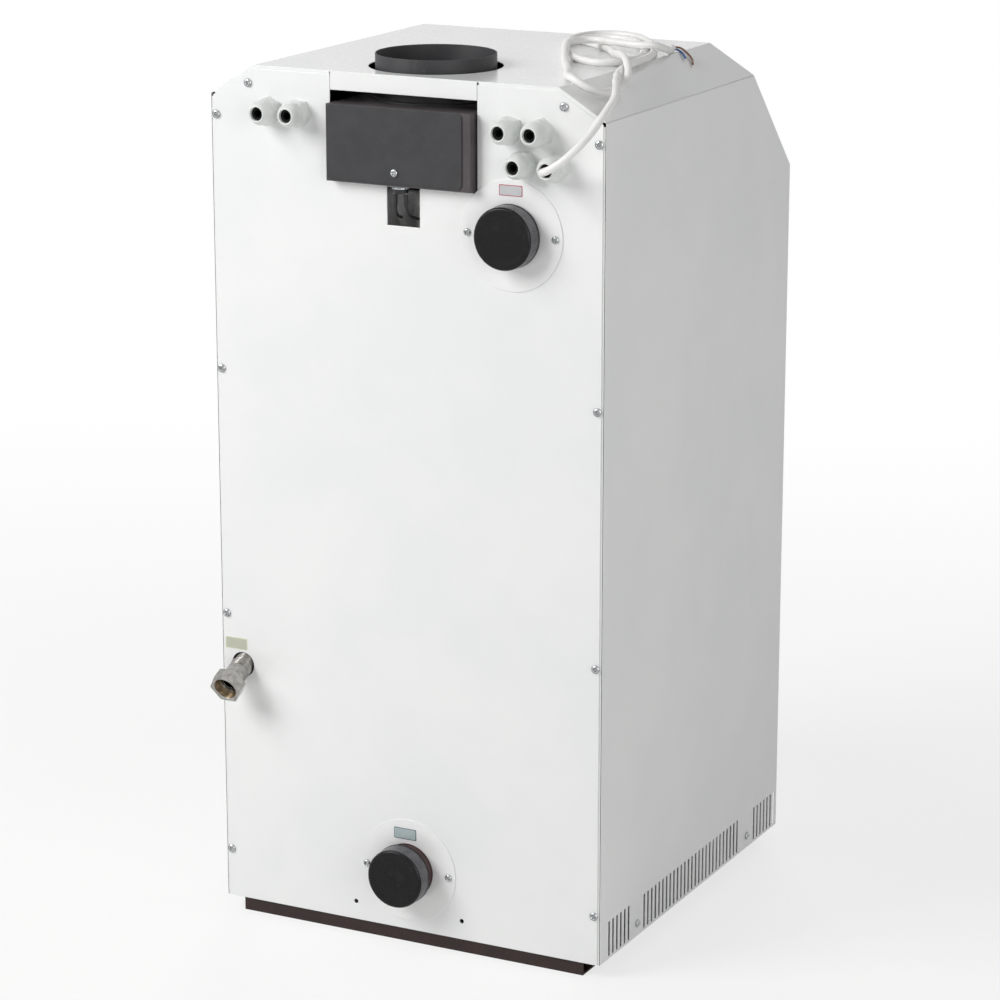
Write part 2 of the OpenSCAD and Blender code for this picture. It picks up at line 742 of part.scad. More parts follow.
module smoke_collector() {
  t = hood_wall;
  color(heat_grey) difference() {
    block([-collector_half, collector_half], [hood_front, collector_front], [jacket_top, collector_top]);
    block([-collector_half + t, collector_half - t], [hood_front + t, collector_front - t], [jacket_top - 1, collector_top - t]);
    block([-duct_w / 2, duct_w / 2], [hood_front - 5, hood_front + 5], [jacket_top + 12, collector_top - 12]);
  }
}

sensor_x = 0.5;
sensor_out = 5;
sensor_r = 8;
bracket_low = hood_z - 1.2;

module sensor_bracket() {
  color(bare_steel) block([sensor_x - 13, sensor_x + 13], [-sensor_out - 6, 20], [bracket_low, hood_z]);
}

// Places a child with +Z down from the bracket, under the sensor's middle
module under_bracket(x, z) {
  translate([sensor_x + x, rear_y + sensor_out, z0 + bracket_low - z]) children();
}

// A disc thermostat that hangs under its bracket, its two blades pointing down
module draught_sensor() {
  color(zinc) {
    under_bracket(0, 1.5) cylinder(r = sensor_r + 1.5, h = 1.5);
    under_bracket(0, 6.5) cylinder(r = sensor_r, h = 5 + eps);
    for (s = [-1, 1]) under_bracket(s * terminal_x, 11.5) translate([-1.6, -0.4, 0]) cube([3.2, 0.8, 5 + eps]);
  }
}

terminal_x = sensor_r - 1.6;
wire_r = 1.5;
bend_ease = 0.2;  // how much fuller a wire is at its bend
sleeve_l = 12;

// Two sleeved wires: down from the terminals, apart, and in through the notch
module sensor_wires() {
  top = 7.5;
  low = bracket_low - top - sleeve_l;
  color(black_plastic) for (s = [-1, 1]) {
    x = sensor_x + s * terminal_x;
    difference() {
      union() {
        under_bracket(s * terminal_x, top + sleeve_l) cylinder(r = 2.4, h = sleeve_l);
        under_bracket(s * terminal_x, top + sleeve_l) sphere(r = 2.4);
      }
      under_bracket(s * terminal_x, 11.8) translate([-1.9, -0.7, 0]) cube([3.8, 1.4, 10]);
    }
    on_wire = [[x, sensor_out, low], [x + s, sensor_out - 5, low - 10], [x + s * 4, -16, low - 17]];
    for (i = [0 : 1]) wire_run(on_wire[i], on_wire[i + 1]);
    translate([on_wire[1][0], rear_y + on_wire[1][1], z0 + on_wire[1][2]]) sphere(r = wire_r + bend_ease);
  }
}

// A straight round wire between two places [x, distance behind the rear panel, height]
module wire_run(a, b) {
  d = b - a;
  l = norm(d);
  translate([a[0], rear_y + a[1], z0 + a[2]]) rotate([0, acos(d[2] / l), atan2(d[1], d[0])]) cylinder(r = wire_r, h = l);
}

// ---- water connections ----

module water_pipe(x, z, out) {
  on_rear(x, z, jacket_in + plate) difference() {
    cylinder(d = pipe_d, h = jacket_in + plate + out, $fn = 72);
    translate([0, 0, -1]) cylinder(d = pipe_d - 2 * pipe_wall, h = jacket_in + plate + 2 + out, $fn = 72);
  }
}

module water_pipes() {
  color("#5a3f42") {
    water_pipe(supply_x, supply_z, supply_out);
    water_pipe(0, return_z, return_out);
  }
}

// A plastic cap pushed over a pipe's end; its mouth faces the panel
module pipe_cap(x, z, out) {
  on_rear(x, z, -out - slack) difference() {
    translate([0, 0, 3.4 - cap_l]) {
      cylinder(d = cap_d, h = cap_l - 1.5, $fn = 96);
      translate([0, 0, cap_l - 1.5]) cylinder(d1 = cap_d, d2 = cap_d - 3, h = 1.5, $fn = 96);
    }
    translate([0, 0, 2.4 - cap_l]) cylinder(d = pipe_d + 2 * slack, h = cap_l - 2.4, $fn = 96);
  }
}

module supply_cap() {
  color(black_plastic) pipe_cap(supply_x, supply_z, supply_out);
}

module return_cap() {
  color(black_plastic) pipe_cap(0, return_z, return_out);
}

module pipe_rosettes() {
  color("#f2f2f2") for (c = [[supply_x, supply_z], [0, return_z]]) difference() {
    on_rear(c[0], c[1]) cylinder(d = rosette_d, h = sheet, $fn = 96);
    on_rear(c[0], c[1], 1) cylinder(d = pipe_d + 2, h = 4, $fn = 72);
    rosette_screw_holes(2);
  }
}

// ---- cable glands ----

gland_thread_d = 22.5;
gland_bore_d = 14.6;
gland_stem_d = 18;
gland_hex_h = 6;
gland_thread_in = 9;
nut_base_h = 8;
gland_r = gland_af / 2 - 0.2;
seal_z = [11, gland_out - 3.5];

module hexagon(af, h) {
  cylinder(d = af / cos(30), h = h, $fn = 6);
}

module gland_bodies() {
  color(gland_grey) for (p = gland_places) on_rear(p[0], p[1]) difference() {
    union() {
      intersection() {
        hexagon(gland_af, gland_hex_h);
        cylinder(d1 = gland_af * 1.3, d2 = gland_af * 1.06, h = gland_hex_h);
      }
      translate([0, 0, -gland_thread_in]) cylinder(d = gland_thread_d, h = gland_thread_in + 1);
      cylinder(d = gland_stem_d, h = seal_z[0] + 5);
    }
    translate([0, 0, -gland_thread_in - 1]) cylinder(d = gland_bore_d, h = 60);
  }
}

module gland_nuts() {
  color(gland_grey) for (p = gland_places) on_rear(p[0], p[1], -gland_hex_h) difference() {
    union() {
      intersection() {
        hexagon(gland_af, nut_base_h);
        cylinder(d1 = gland_af * 1.08, d2 = gland_af * 1.12, h = nut_base_h);
      }
      rotate_extrude($fn = 64) polygon([
        [0, 0], [gland_r, 0], [gland_r, nut_base_h + 2], [gland_r - 0.5, gland_out - gland_hex_h - 8],
        [gland_r - 1.5, gland_out - gland_hex_h - 5], [gland_r - 3, gland_out - gland_hex_h - 2.2],
        [gland_r - 4.8, gland_out - gland_hex_h], [0, gland_out - gland_hex_h]
      ]);
    }
    translate([0, 0, -1]) cylinder(d = gland_stem_d + 2 * slack, h = seal_z[0] + 1);
    translate([0, 0, seal_z[0] - eps]) cylinder(d1 = gland_stem_d + 2 * slack, d2 = gland_mouth_d, h = 5);
    translate([0, 0, -1]) cylinder(d = gland_mouth_d, h = gland_out + 5);
  }
}

module gland_seals() {
  color(black_plastic) for (p = gland_places) on_rear(p[0], p[1], -seal_z[0]) difference() {
    cylinder(d = gland_bore_d - 2 * slack, h = seal_z[1] - seal_z[0]);
    translate([0, 0, -1]) cylinder(d = seal_hole_d, h = 30);
  }
}

module gland_locknuts() {
  color(gland_grey) for (p = gland_places) on_rear(p[0], p[1], sheet + 5) difference() {
    hexagon(gland_af - 1, 5);
    translate([0, 0, -1]) cylinder(d = gland_thread_d + 2 * slack, h = 7);
  }
}

// ---- gas line ----

hose_in = 30;
ferrule_l = 26;
ferrule_d = 25;
nut_l = 15;
nose_l = 3.2;
nut_seat_l = nose_l + 0.8;
gas_pipe_d = 17;
turn_r = 30;
valve_z = 62;
pipe_front = jacket_front + 52;
elbow_l = 16;
hose_wall = 0.8;
socket_l = 8;

// Places a child on the drooping axis of the gas connection, +Z outwards, s from the rear panel
module on_gas_axis(s) {
  translate([gas_x, rear_y, z0 + gas_z]) rotate([-90 - gas_droop, 0, 0]) translate([0, 0, s]) children();
}

module gas_hose() {
  l = hose_in + gas_l - nut_l - ferrule_l;
  n = floor(l / rib_pitch);
  r = hose_d / 2;
  step = l / n;
  outer = [for (i = [0 : n - 1], k = [0, 1]) [k == 0 ? r - 1.4 : r, (i + k / 2) * step]];
  color(zinc) on_gas_axis(-hose_in) rotate_extrude($fn = 48)
    polygon(concat([[r - 2.2, 0]], outer, [[r - 1.4, l], [r - 2.2, l]]));
}

module gas_ferrule() {
  s0 = gas_l - nut_l - ferrule_l;
  color(zinc) on_gas_axis(s0) rotate_extrude($fn = 64) polygon([
    [8.5, 0], [ferrule_d / 2 - 1, 0], [ferrule_d / 2, 1], [ferrule_d / 2, ferrule_l],
    [11.5, ferrule_l], [11.5, ferrule_l + nose_l], [8.5, ferrule_l + nose_l]
  ]);
}

module gas_union_nut() {
  corner = union_af / cos(30);
  color(zinc) on_gas_axis(gas_l - nut_l) difference() {
    intersection() {
      hexagon(union_af, nut_l);
      union() {
        cylinder(d1 = union_af, d2 = corner, h = 2);
        translate([0, 0, 2]) cylinder(d = corner + 0.1, h = nut_l - 4);
        translate([0, 0, nut_l - 2]) cylinder(d1 = corner, d2 = union_af, h = 2);
      }
    }
    translate([0, 0, -1]) cylinder(d = 23 + 2 * slack, h = nut_seat_l + 1.01);
    translate([0, 0, nut_seat_l]) cylinder(d = union_bore_d, h = nut_l, $fn = 64);
  }
}

// The fitting that turns the drooping hose into the level gas pipe

module gas_elbow() {
  color(bare_steel) difference() {
    union() {
      on_gas_axis(-hose_in - elbow_l) cylinder(d = 24, h = elbow_l);
      translate(gas_knee) sphere(r = 12.8);
      translate(gas_knee) rotate([90, 0, 0]) cylinder(d = 24, h = elbow_l + socket_l);
    }
    on_gas_axis(-hose_in - elbow_l) cylinder(d = 12, h = elbow_l + 1);
    translate(gas_knee) sphere(r = 6.5);
    translate(gas_knee) rotate([90, 0, 0]) cylinder(d = 12, h = elbow_l + socket_l + 1);
    translate(gas_knee) rotate([90, 0, 0]) translate([0, 0, elbow_l]) cylinder(d = gas_pipe_d + 2 * slack, h = socket_l + 1);
  }
}

gas_knee = [
  gas_x,
  rear_y - (hose_in + elbow_l) * cos(gas_droop),
  z0 + gas_z + (hose_in + elbow_l) * sin(gas_droop)
];
valve_x = [20, 112];
valve_depth = [jacket_front + 24, jacket_front + 76];

module tube_z(d, l) {
  difference() {
    cylinder(d = d, h = l);
    translate([0, 0, -1]) cylinder(d = d - 4, h = l + 2);
  }
}

// A quarter bend that leaves the origin along +X and ends along +Z
module bend_xz(d) {
  translate([0, 0, turn_r]) rotate([90, 0, 0]) rotate([0, 0, -90]) rotate_extrude(angle = 90) translate([turn_r, 0]) difference() {
    circle(d = d);
    circle(d = d - 4);
  }
}

module gas_pipe() {
  y_start = gas_knee[1] - elbow_l - 0.2;
  y_turn = rear_y - pipe_front + turn_r;
  z_low = z0 + valve_z;
  color(bare_steel) {
    translate([gas_x, y_start, gas_knee[2]]) rotate([90, 0, 0]) tube_z(gas_pipe_d, y_start - y_turn);
    translate([gas_x, y_turn - turn_r, gas_knee[2] - turn_r]) rotate([0, 0, 90]) rotate([180, 0, 0])
      translate([turn_r, 0, -turn_r]) mirror([1, 0, 0]) bend_xz(gas_pipe_d);
    translate([gas_x, y_turn - turn_r, z_low + turn_r]) tube_z(gas_pipe_d, gas_knee[2] - 2 * turn_r - z_low);
    translate([gas_x - turn_r, y_turn - turn_r, z_low]) bend_xz(gas_pipe_d);
    translate([valve_x[1] + slack, y_turn - turn_r, z_low]) rotate([0, 90, 0])
      tube_z(gas_pipe_d, gas_x - turn_r - valve_x[1] - slack);
  }
}

// ---- heat exchanger ----

fire_half = jacket_half - water_gap;
fire_depth = [jacket_in + water_gap_y, jacket_front - water_gap_y];
port_half = fire_half - plate - 2;
tube_hole_d = tube_d + 2 * slack;

module smoke_holes(z) {
  for (x = tube_x, d = tube_depths)
    translate([x, rear_y - d, z0 + z - 20]) cylinder(d = tube_hole_d, h = 40);
}

module jacket_shell() {
  color(bare_steel) difference() {
    block([-jacket_half, jacket_half], [jacket_in, jacket_front], [jacket_z, jacket_top]);
    block([-jacket_half + plate, jacket_half - plate], [jacket_in + plate, jacket_front - plate], [jacket_z - 1, jacket_top - plate]);
    block([-port_half, port_half], [jacket_front - 10, jacket_front + 10], [jacket_z - 1, jacket_z + port_h]);
    smoke_holes(jacket_top);
    on_rear(supply_x, supply_z, jacket_in + 10) cylinder(d = pipe_d + 2 * slack, h = 20, $fn = 72);
    on_rear(0, return_z, jacket_in + 10) cylinder(d = pipe_d + 2 * slack, h = 20, $fn = 72);
  }
}

module firebox() {
  color(bare_steel) difference() {
    block([-fire_half, fire_half], fire_depth, [jacket_z + plate, crown_z]);
    block([-fire_half + plate, fire_half - plate], fire_depth + [plate, -plate], [jacket_z, crown_z - plate]);
    block([-port_half, port_half], [fire_depth[1] - 10, fire_depth[1] + 10], [jacket_z, jacket_z + port_h]);
    smoke_holes(crown_z);
  }
}

// Ring that closes the water space below, the frame round the port, and the feet
module jacket_frame() {
  in = plate;
  ring_half = jacket_half - plate;
  foot_x = jacket_half - 30;
  color(bare_steel) {
    difference() {
      union() {
        block([-ring_half, ring_half], [jacket_in + plate, jacket_front - plate], [jacket_z, jacket_z + plate]);
        block([-port_half - in, port_half + in], [fire_depth[1], jacket_front - plate], [jacket_z, jacket_z + port_h + in]);
      }
      block([-fire_half + plate, fire_half - plate], fire_depth + [plate, -plate], [jacket_z - 1, jacket_z + 2 * plate]);
      block([-port_half, port_half], [fire_depth[1] - 20, jacket_front], [jacket_z - 1, jacket_z + port_h]);
    }
    for (s = [-1, 1]) block([s * foot_x - 10, s * foot_x + 10], [jacket_in + plate, jacket_front - plate], [sheet, jacket_z]);
  }
}

module smoke_tubes() {
  low = z0 + crown_z - plate;
  color(bare_steel) for (x = tube_x, d = tube_depths) translate([x, rear_y - d, low]) difference() {
    cylinder(d = tube_d, h = z0 + jacket_top - low);
    translate([0, 0, -1]) cylinder(d = tube_d - 2 * tube_wall, h = z0 + jacket_top - low + 2);
  }
}

// Bent steel strips that hang in the smoke tubes from a crossbar on the tube's rim
module turbulators() {
  n = 9;
  w = 26;
  t = 1.5;
  swing = 12;
  l = jacket_top - crown_z - 40;
  step = l / n;
  side = [for (i = [0 : n]) [i % 2 == 0 ? swing : -swing, -i * step]];
  other = [for (i = [n : -1 : 0]) [(i % 2 == 0 ? swing : -swing) + t, -i * step]];
  color("#77706a") for (x = tube_x, d = tube_depths) translate([x, rear_y - d, z0 + jacket_top]) {
    translate([0, 0, 4]) rotate([90, 0, 90]) linear_extrude(w, center = true) polygon(concat(side, other));
    translate([-tube_d / 2, swing - 4, 0]) cube([tube_d, 8, 4 + eps]);
  }
}

wool_front = 0.6 * wool;

module insulation() {
  color("#b9bcbc") difference() {
    block([-jacket_half - wool, jacket_half + wool], [jacket_in - wool, jacket_front + wool_front], [jacket_z + 5, jacket_top - 1]);
    block([-jacket_half, jacket_half], [jacket_in, jacket_front], [jacket_z, jacket_top]);
    block([-port_half - 30, port_half + 30], [jacket_front - 5, jacket_front + wool_front + 5], [0, jacket_z + port_h + 45]);
    on_rear(supply_x, supply_z, jacket_in + 5) cylinder(d = pipe_d + 4, h = 40, $fn = 72);
    on_rear(0, return_z, jacket_in + 5) cylinder(d = pipe_d + 4, h = 40, $fn = 72);
  }
}

// ---- burner ----

burner_back = fire_depth[0] + 16;
burner_nose = jacket_front + 12;
tray_half = port_half + 22;
tray_z = [jacket_z, jacket_z + port_h + 25];
electrode_z = 185;
burner_pitch = (2 * (fire_half - plate - burner_side) - burner_d) / (burner_count - 1);
electrode_x = [-burner_pitch, burner_pitch];
sight_x = port_half - 34;
sight_z = 215;
sight_r = 10;
shutter_pin = [sight_x - 24, sight_z];

function burner_x() = [for (i = [0 : burner_count - 1]) (i - (burner_count - 1) / 2) * burner_pitch];

// Front plate of the burner with the bar that carries the tubes' far ends
module burner_tray() {
  bar_z = burner_z - burner_d / 2;
  color("#6e7072") difference() {
    union() {
      block([-tray_half, tray_half], [jacket_front, jacket_front + 2], tray_z);
      for (s = [-1, 1])
        block([s * (port_half - 8) - 2, s * (port_half - 8) + 2], [burner_back, jacket_front + 1], [bar_z - 20, bar_z - 4]);
      block([-port_half + 6, port_half - 6], [burner_back, burner_back + 10], [bar_z - 20, bar_z - 0.3]);
      facing_front(sight_x, sight_z, jacket_front) cylinder(r = sight_r + 4, h = 5);
    }
    for (x = burner_x()) facing_front(x, burner_z, jacket_front - 5) cylinder(d = burner_d + 2 * slack, h = 12);
    for (x = electrode_x) facing_front(x, electrode_z, jacket_front - 5) cylinder(d = ceramic_d + 2 * slack, h = 12);
    facing_front(sight_x, sight_z, jacket_front - 5) cylinder(r = sight_r - 3, h = 20);
    facing_front(sight_x, sight_z, jacket_front + 2) cylinder(r = sight_r + slack, h = 10);
    facing_front(shutter_pin[0], shutter_pin[1], jacket_front - 5) cylinder(r = 2 + play, h = 20);
  }
}

module burner_tubes() {
  l = burner_nose - burner_back;
  ports = 18;
  color("#a8a39c") for (x = burner_x()) difference() {
    facing_front(x, burner_z, burner_back) cylinder(d = burner_d, h = l);
    facing_front(x, burner_z, burner_back + 1) cylinder(d = burner_d - 2, h = l);
    for (i = [0 : ports - 1])
      block([x - 8, x + 8], [burner_back + 14 + i * 11, burner_back + 17 + i * 11], [burner_z + burner_d / 2 - 4, burner_z + burner_d]);
  }
}

manifold_depth = jacket_front + 42;
manifold_half = port_half - 4;

module gas_manifold() {
  r = manifold_r;
  color(bare_steel) {
    difference() {
      block([-manifold_half, manifold_half], [manifold_depth - r, manifold_depth + r], [burner_z - r, burner_z + r]);
      block([-manifold_half + 2, manifold_half - 2], [manifold_depth - r + 2, manifold_depth + r - 2], [burner_z - r + 2, burner_z + r - 2]);
      for (x = burner_x()) facing_front(x, burner_z, manifold_depth - r - 1) cylinder(r = 4 + slack, h = 6);
    }
    for (s = [-1, 1]) block(
      s > 0 ? [manifold_half, manifold_half + 3] : [-manifold_half - 3, -manifold_half],
      [jacket_front + 2, manifold_depth + r], [burner_z - r, burner_z + r]
    );
  }
}

module injectors() {
  color(brass) for (x = burner_x()) facing_front(x, burner_z, manifold_depth - manifold_r) difference() {
    union() {
      translate([0, 0, -7]) hexagon(11, 7);
      cylinder(r = 4, h = 5);
      translate([0, 0, -13]) cylinder(r1 = 2.5, r2 = 4, h = 6 + eps);
    }
    translate([0, 0, -14]) cylinder(r = 0.7, h = 30);
  }
}

module gas_valve() {
  z = [valve_z - 28, burner_z - manifold_r - 14];
  x_mid = (valve_x[0] + valve_x[1]) / 2;
  color("#9a9fa3") {
    difference() {
      union() {
        block(valve_x, valve_depth, z);
        for (x = [valve_x[0] + 20, valve_x[1] - 22])
          translate([x, rear_y - valve_depth[0] - 26, z0 + z[1] - eps]) cylinder(r = 9, h = 10);
      }
      translate([valve_x[1] - 30, rear_y - pipe_front, z0 + valve_z]) rotate([0, 90, 0]) cylinder(d = gas_pipe_d - 4, h = 40);
      facing_front(valve_x[0] + 24, valve_z, valve_depth[1] - 12) cylinder(r = 3 + play, h = 20);
    }
    // outlet to the manifold
    translate([x_mid, rear_y - manifold_depth, z0 + z[1] - eps]) tube_z(16, 14 + eps);
  }
}

module valve_knob() {
  color(black_plastic) facing_front(valve_x[0] + 24, valve_z, valve_depth[1] + 0.4) {
    difference() {
      cylinder(d = 30, h = 12);
      for (i = [0 : 11]) rotate([0, 0, i * 30]) translate([16, 0, -1]) cylinder(r = 2, h = 14, $fn = 16);
    }
    translate([0, 0, -10]) cylinder(r = 3, h = 10 + eps);
  }
}

module ignition_electrodes() {
  color("#e8e4da") for (x = electrode_x) facing_front(x, electrode_z, jacket_front - 30) {
    cylinder(d = ceramic_d, h = 30);
    translate([0, 0, 30 + 2]) cylinder(d = ceramic_d + 5, h = 3);
    translate([0, 0, 30 - eps]) cylinder(d = ceramic_d, h = 14);
    translate([0, 0, -70]) cylinder(r = 1.3, h = 70 + eps);
  }
}

module sight_glass() {
  color("#b9c8c4") facing_front(sight_x, sight_z, jacket_front + 2) cylinder(r = sight_r, h = 3);
}

// A flap that swings aside in its own plane about its rivet
module sight_shutter() {
  color(bare_steel) difference() {
    union() {
      facing_front(sight_x, sight_z, jacket_front + 5.4) cylinder(r = sight_r + 3, h = 1.2);
      block([shutter_pin[0], sight_x], [jacket_front + 5.4, jacket_front + 6.6], [sight_z - 6, sight_z + 6]);
      facing_front(shutter_pin[0], sight_z, jacket_front + 5.4) cylinder(r = 6, h = 1.2);
      facing_front(shutter_pin[0], sight_z, jacket_front + 2.3) cylinder(r = 3.5, h = 3.2);
      facing_front(shutter_pin[0], sight_z, jacket_front - 3) cylinder(r = 2, h = 6);
    }
  }
}

// ---- mains cord ----

// The cord's route, as [x, depth, height above the floor], from inside its gland to its bare end
cord_route = [
  // out of the gland and up over the casing's corner
  [-180.3, -8, 884.9], [-180.3, -31, 884.9], [-185.5, -46, 886.4], [-198, -54, 892], [-213, -51.5, 902.5],
  [-225, -41, 916], [-232, -27, 929], [-236, -12, 942], [-237, 3, 951], [-236, 17, 958],
  [-230, 32, 963], [-223, 48, 966], [-215, 64, 967], [-208, 82, 967], [-200, 98, 967],
  [-194, 114, 967], [-190, 132, 969], [-187, 150, 970],
  // the outer loop on the top
  [-186, 170, 971], [-184, 196, 971], [-180, 225, 971], [-168, 261, 971], [-151, 296, 971],
  [-130, 330, 971], [-103, 360, 971], [-74, 373, 971], [-50, 361, 971], [-42, 333, 971],
  [-47, 300, 971], [-60, 264, 971], [-79, 228, 971], [-101, 194, 971], [-126, 168, 971],
  // the inner loop
  [-150, 158, 971], [-169, 170, 971], [-174, 198, 971], [-168, 231, 971], [-154, 264, 971],
  [-137, 295, 971], [-118, 322, 971], [-95, 341, 971], [-73, 343, 971], [-57, 330, 971],
  // back over both, round the corner's slope and under the first stretch
  [-57, 311, 971], [-71, 297, 971], [-92, 282, 971], [-117, 256, 971], [-143, 214, 973],
  [-168, 169, 979.5], [-191, 137, 981], [-203, 120, 972], [-209, 103, 962], [-211, 85, 957],
  [-211, 66, 957], [-207, 47, 958], [-196, 34, 964],
  // the last loop, across the others to the bare end
  [-180, 34, 972], [-166, 50, 972], [-145, 94, 971], [-120, 140, 971], [-105, 170, 972.5],
  [-94, 195, 979], [-85, 220, 981], [-80, 242, 979.5], [-86, 259, 979], [-101, 264, 979],
  [-120, 254, 980], [-141, 244, 980], [-160, 240, 980], [-174, 246, 980], [-181, 260, 975],
  [-179, 278, 971], [-174, 296, 971]
];

// The three bare cores, fanned out from the cord's end
core_routes = [
  [[-172, 297, 972], [-168, 308, 970.5], [-162, 320, 968.4], [-158, 334, 968.2]],
  [[-175.6, 297, 972], [-180, 306, 969.8], [-188, 306, 964.6], [-196, 300, 959.8], [-202, 289, 956]],
  [[-173.6, 297, 969.2], [-178, 302, 968.4], [-185, 298, 966.2], [-192, 291, 962]]
];

function last(v) = v[len(v) - 1];

function unit(v) = v / norm(v);

// The stop before the first and the one after the last, so that the curve reaches both ends
function stop(r, i) = i < 0 ? 2 * r[0] - r[1] : i >= len(r) ? 2 * last(r) - r[len(r) - 2] : r[i];

// A smooth curve through the stops: its point at share t of the way from stop i to the next
function curve(r, i, t) = let (a = stop(r, i - 1), b = stop(r, i), c = stop(r, i + 1), d = stop(r, i + 2))
  0.5 * (2 * b + (c - a) * t + (2 * a - 5 * b + 4 * c - d) * t * t + (3 * b - a - 3 * c + d) * t * t * t);

function heading(r, i, t) = let (a = stop(r, i - 1), b = stop(r, i), c = stop(r, i + 1), d = stop(r, i + 2))
  unit((c - a) + 2 * (2 * a - 5 * b + 4 * c - d) * t + 3 * (3 * b - a - 3 * c + d) * t * t);

// Half width and top of the casing that the cord's stops are given for; they move with its corner
cord_corner = [-235, 966.7];

// A route's stops in the part's own frame
function placed(route) = [for (p = route) [p[0] - cord_corner[0] - half_w, rear_y - p[1], p[2] - cord_corner[1] + z_top]];

// Rings stand at every stop, and halfway where two stops are far apart
function ring_places(r, far) = concat(
  [for (i = [0 : len(r) - 2], t = norm(r[i + 1] - r[i]) > far ? [0, 0.5] : [0]) [i, t]],
  [[len(r) - 2, 1]]
);

module tube(route, d, sides, far) {
  r = placed(route);
  places = ring_places(r, far);
  n = len(places);
  points = [
    for (p = places) let (c = curve(r, p[0], p[1]), h = heading(r, p[0], p[1]), u = unit(cross(h, [0, 0, 1])), v = cross(u, h))
      for (k = [0 : sides - 1]) c + d / 2 * (cos(k * 360 / sides) * u + sin(k * 360 / sides) * v)
  ];
  walls = [
    for (i = [0 : n - 2], k = [0 : sides - 1]) let (m = (k + 1) % sides)
      each [
        [i * sides + k, i * sides + m, (i + 1) * sides + k],
        [i * sides + m, (i + 1) * sides + m, (i + 1) * sides + k]
      ]
  ];
  ends = [
    for (k = [1 : sides - 2]) each [
      [0, k + 1, k],
      [(n - 1) * sides, (n - 1) * sides + k, (n - 1) * sides + k + 1]
    ]
  ];
  polyhedron(points = points, faces = concat(walls, ends));
}

module mains_cord() {
  fine = [for (i = [0 : len(cord_route) - 2], t = [0 : 0.25 : 0.99]) curve(cord_route, i, t)];
  apart = [for (i = [0 : len(fine) - 13]) min([for (j = [i + 12 : len(fine) - 1]) norm(fine[i] - fine[j])])];
  echo(cord_gap_to_itself = min(apart) - cord_d);
  color(cord_white) tube(cord_route, cord_d, 10, 24);
}

module cord_cores() {
  color("#7a4a30") for (route = core_routes) tube(route, core_d, 8, 24);
}

base_frame();
floor_pan();
side_panel_left();
side_panel_right();
rear_panel();
top_panel();
front_plinth();
front_door();
door_handle();
door_catch();
hinge_brackets();
hinge_pins();
control_fascia();
display_window();
thermostat_knob();
rocker_switch();
button_minus();
button_plus();
button_mode();
control_box();
control_board();
casing_screws();
hood_body();
hood_cover();
flue_collar();
smoke_collector();
draught_sensor();
sensor_bracket();
sensor_wires();
water_pipes();
supply_cap();
return_cap();
pipe_rosettes();
gland_bodies();
gland_nuts();
gland_seals();
gland_locknuts();
gas_elbow();
gas_hose();
gas_ferrule();
gas_union_nut();
gas_pipe();
jacket_shell();
firebox();
jacket_frame();
smoke_tubes();
turbulators();
insulation();
burner_tray();
burner_tubes();
gas_manifold();
injectors();
gas_valve();
valve_knob();
ignition_electrodes();
sight_glass();
sight_shutter();
mains_cord();
cord_cores();
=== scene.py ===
import bmesh
import bpy
import numpy as np
from math import radians
from mathutils import Matrix, Vector


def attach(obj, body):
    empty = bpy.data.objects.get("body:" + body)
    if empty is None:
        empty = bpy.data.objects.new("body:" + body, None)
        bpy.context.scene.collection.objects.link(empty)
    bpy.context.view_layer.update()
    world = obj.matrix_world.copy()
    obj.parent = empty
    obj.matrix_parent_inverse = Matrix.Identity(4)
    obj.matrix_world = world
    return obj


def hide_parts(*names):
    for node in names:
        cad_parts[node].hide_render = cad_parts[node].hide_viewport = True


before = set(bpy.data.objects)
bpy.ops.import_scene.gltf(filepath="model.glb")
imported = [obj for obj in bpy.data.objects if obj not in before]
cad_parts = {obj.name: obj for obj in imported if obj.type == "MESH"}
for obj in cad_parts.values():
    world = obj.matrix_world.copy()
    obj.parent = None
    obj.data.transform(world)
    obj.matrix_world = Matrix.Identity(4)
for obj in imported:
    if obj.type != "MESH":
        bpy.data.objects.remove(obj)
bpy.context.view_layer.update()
scene = bpy.context.scene
millimetre = 0.001
rearMm = 235.18345  # Y of the rear panel's outer face, mm
pipePlaces = {"supply": (-127.5, 809.0), "return": (0.0, 86.0)}  # X and Z of the two water pipes' axes, mm


def hexToLinear(code):
    # each channel as a share of 255, with the sRGB curve undone
    rgb = np.array([int(code[i:i + 2], 16) for i in (0, 2, 4)]) / 255
    linear = np.where(rgb <= 0.04045, rgb / 12.92, ((rgb + 0.055) / 1.055) ** 2.4)
    return (*linear.tolist(), 1.0)


def addNode(tree, kind, inputs=None, **settings):
    # a node, its settings, and its sockets either linked or set
    node = tree.nodes.new(kind)
    for name, value in settings.items():
        setattr(node, name, value)
    for name, value in (inputs or {}).items():
        if isinstance(value, bpy.types.NodeSocket):
            tree.links.new(value, node.inputs[name])
        else:
            node.inputs[name].default_value = value
    return node


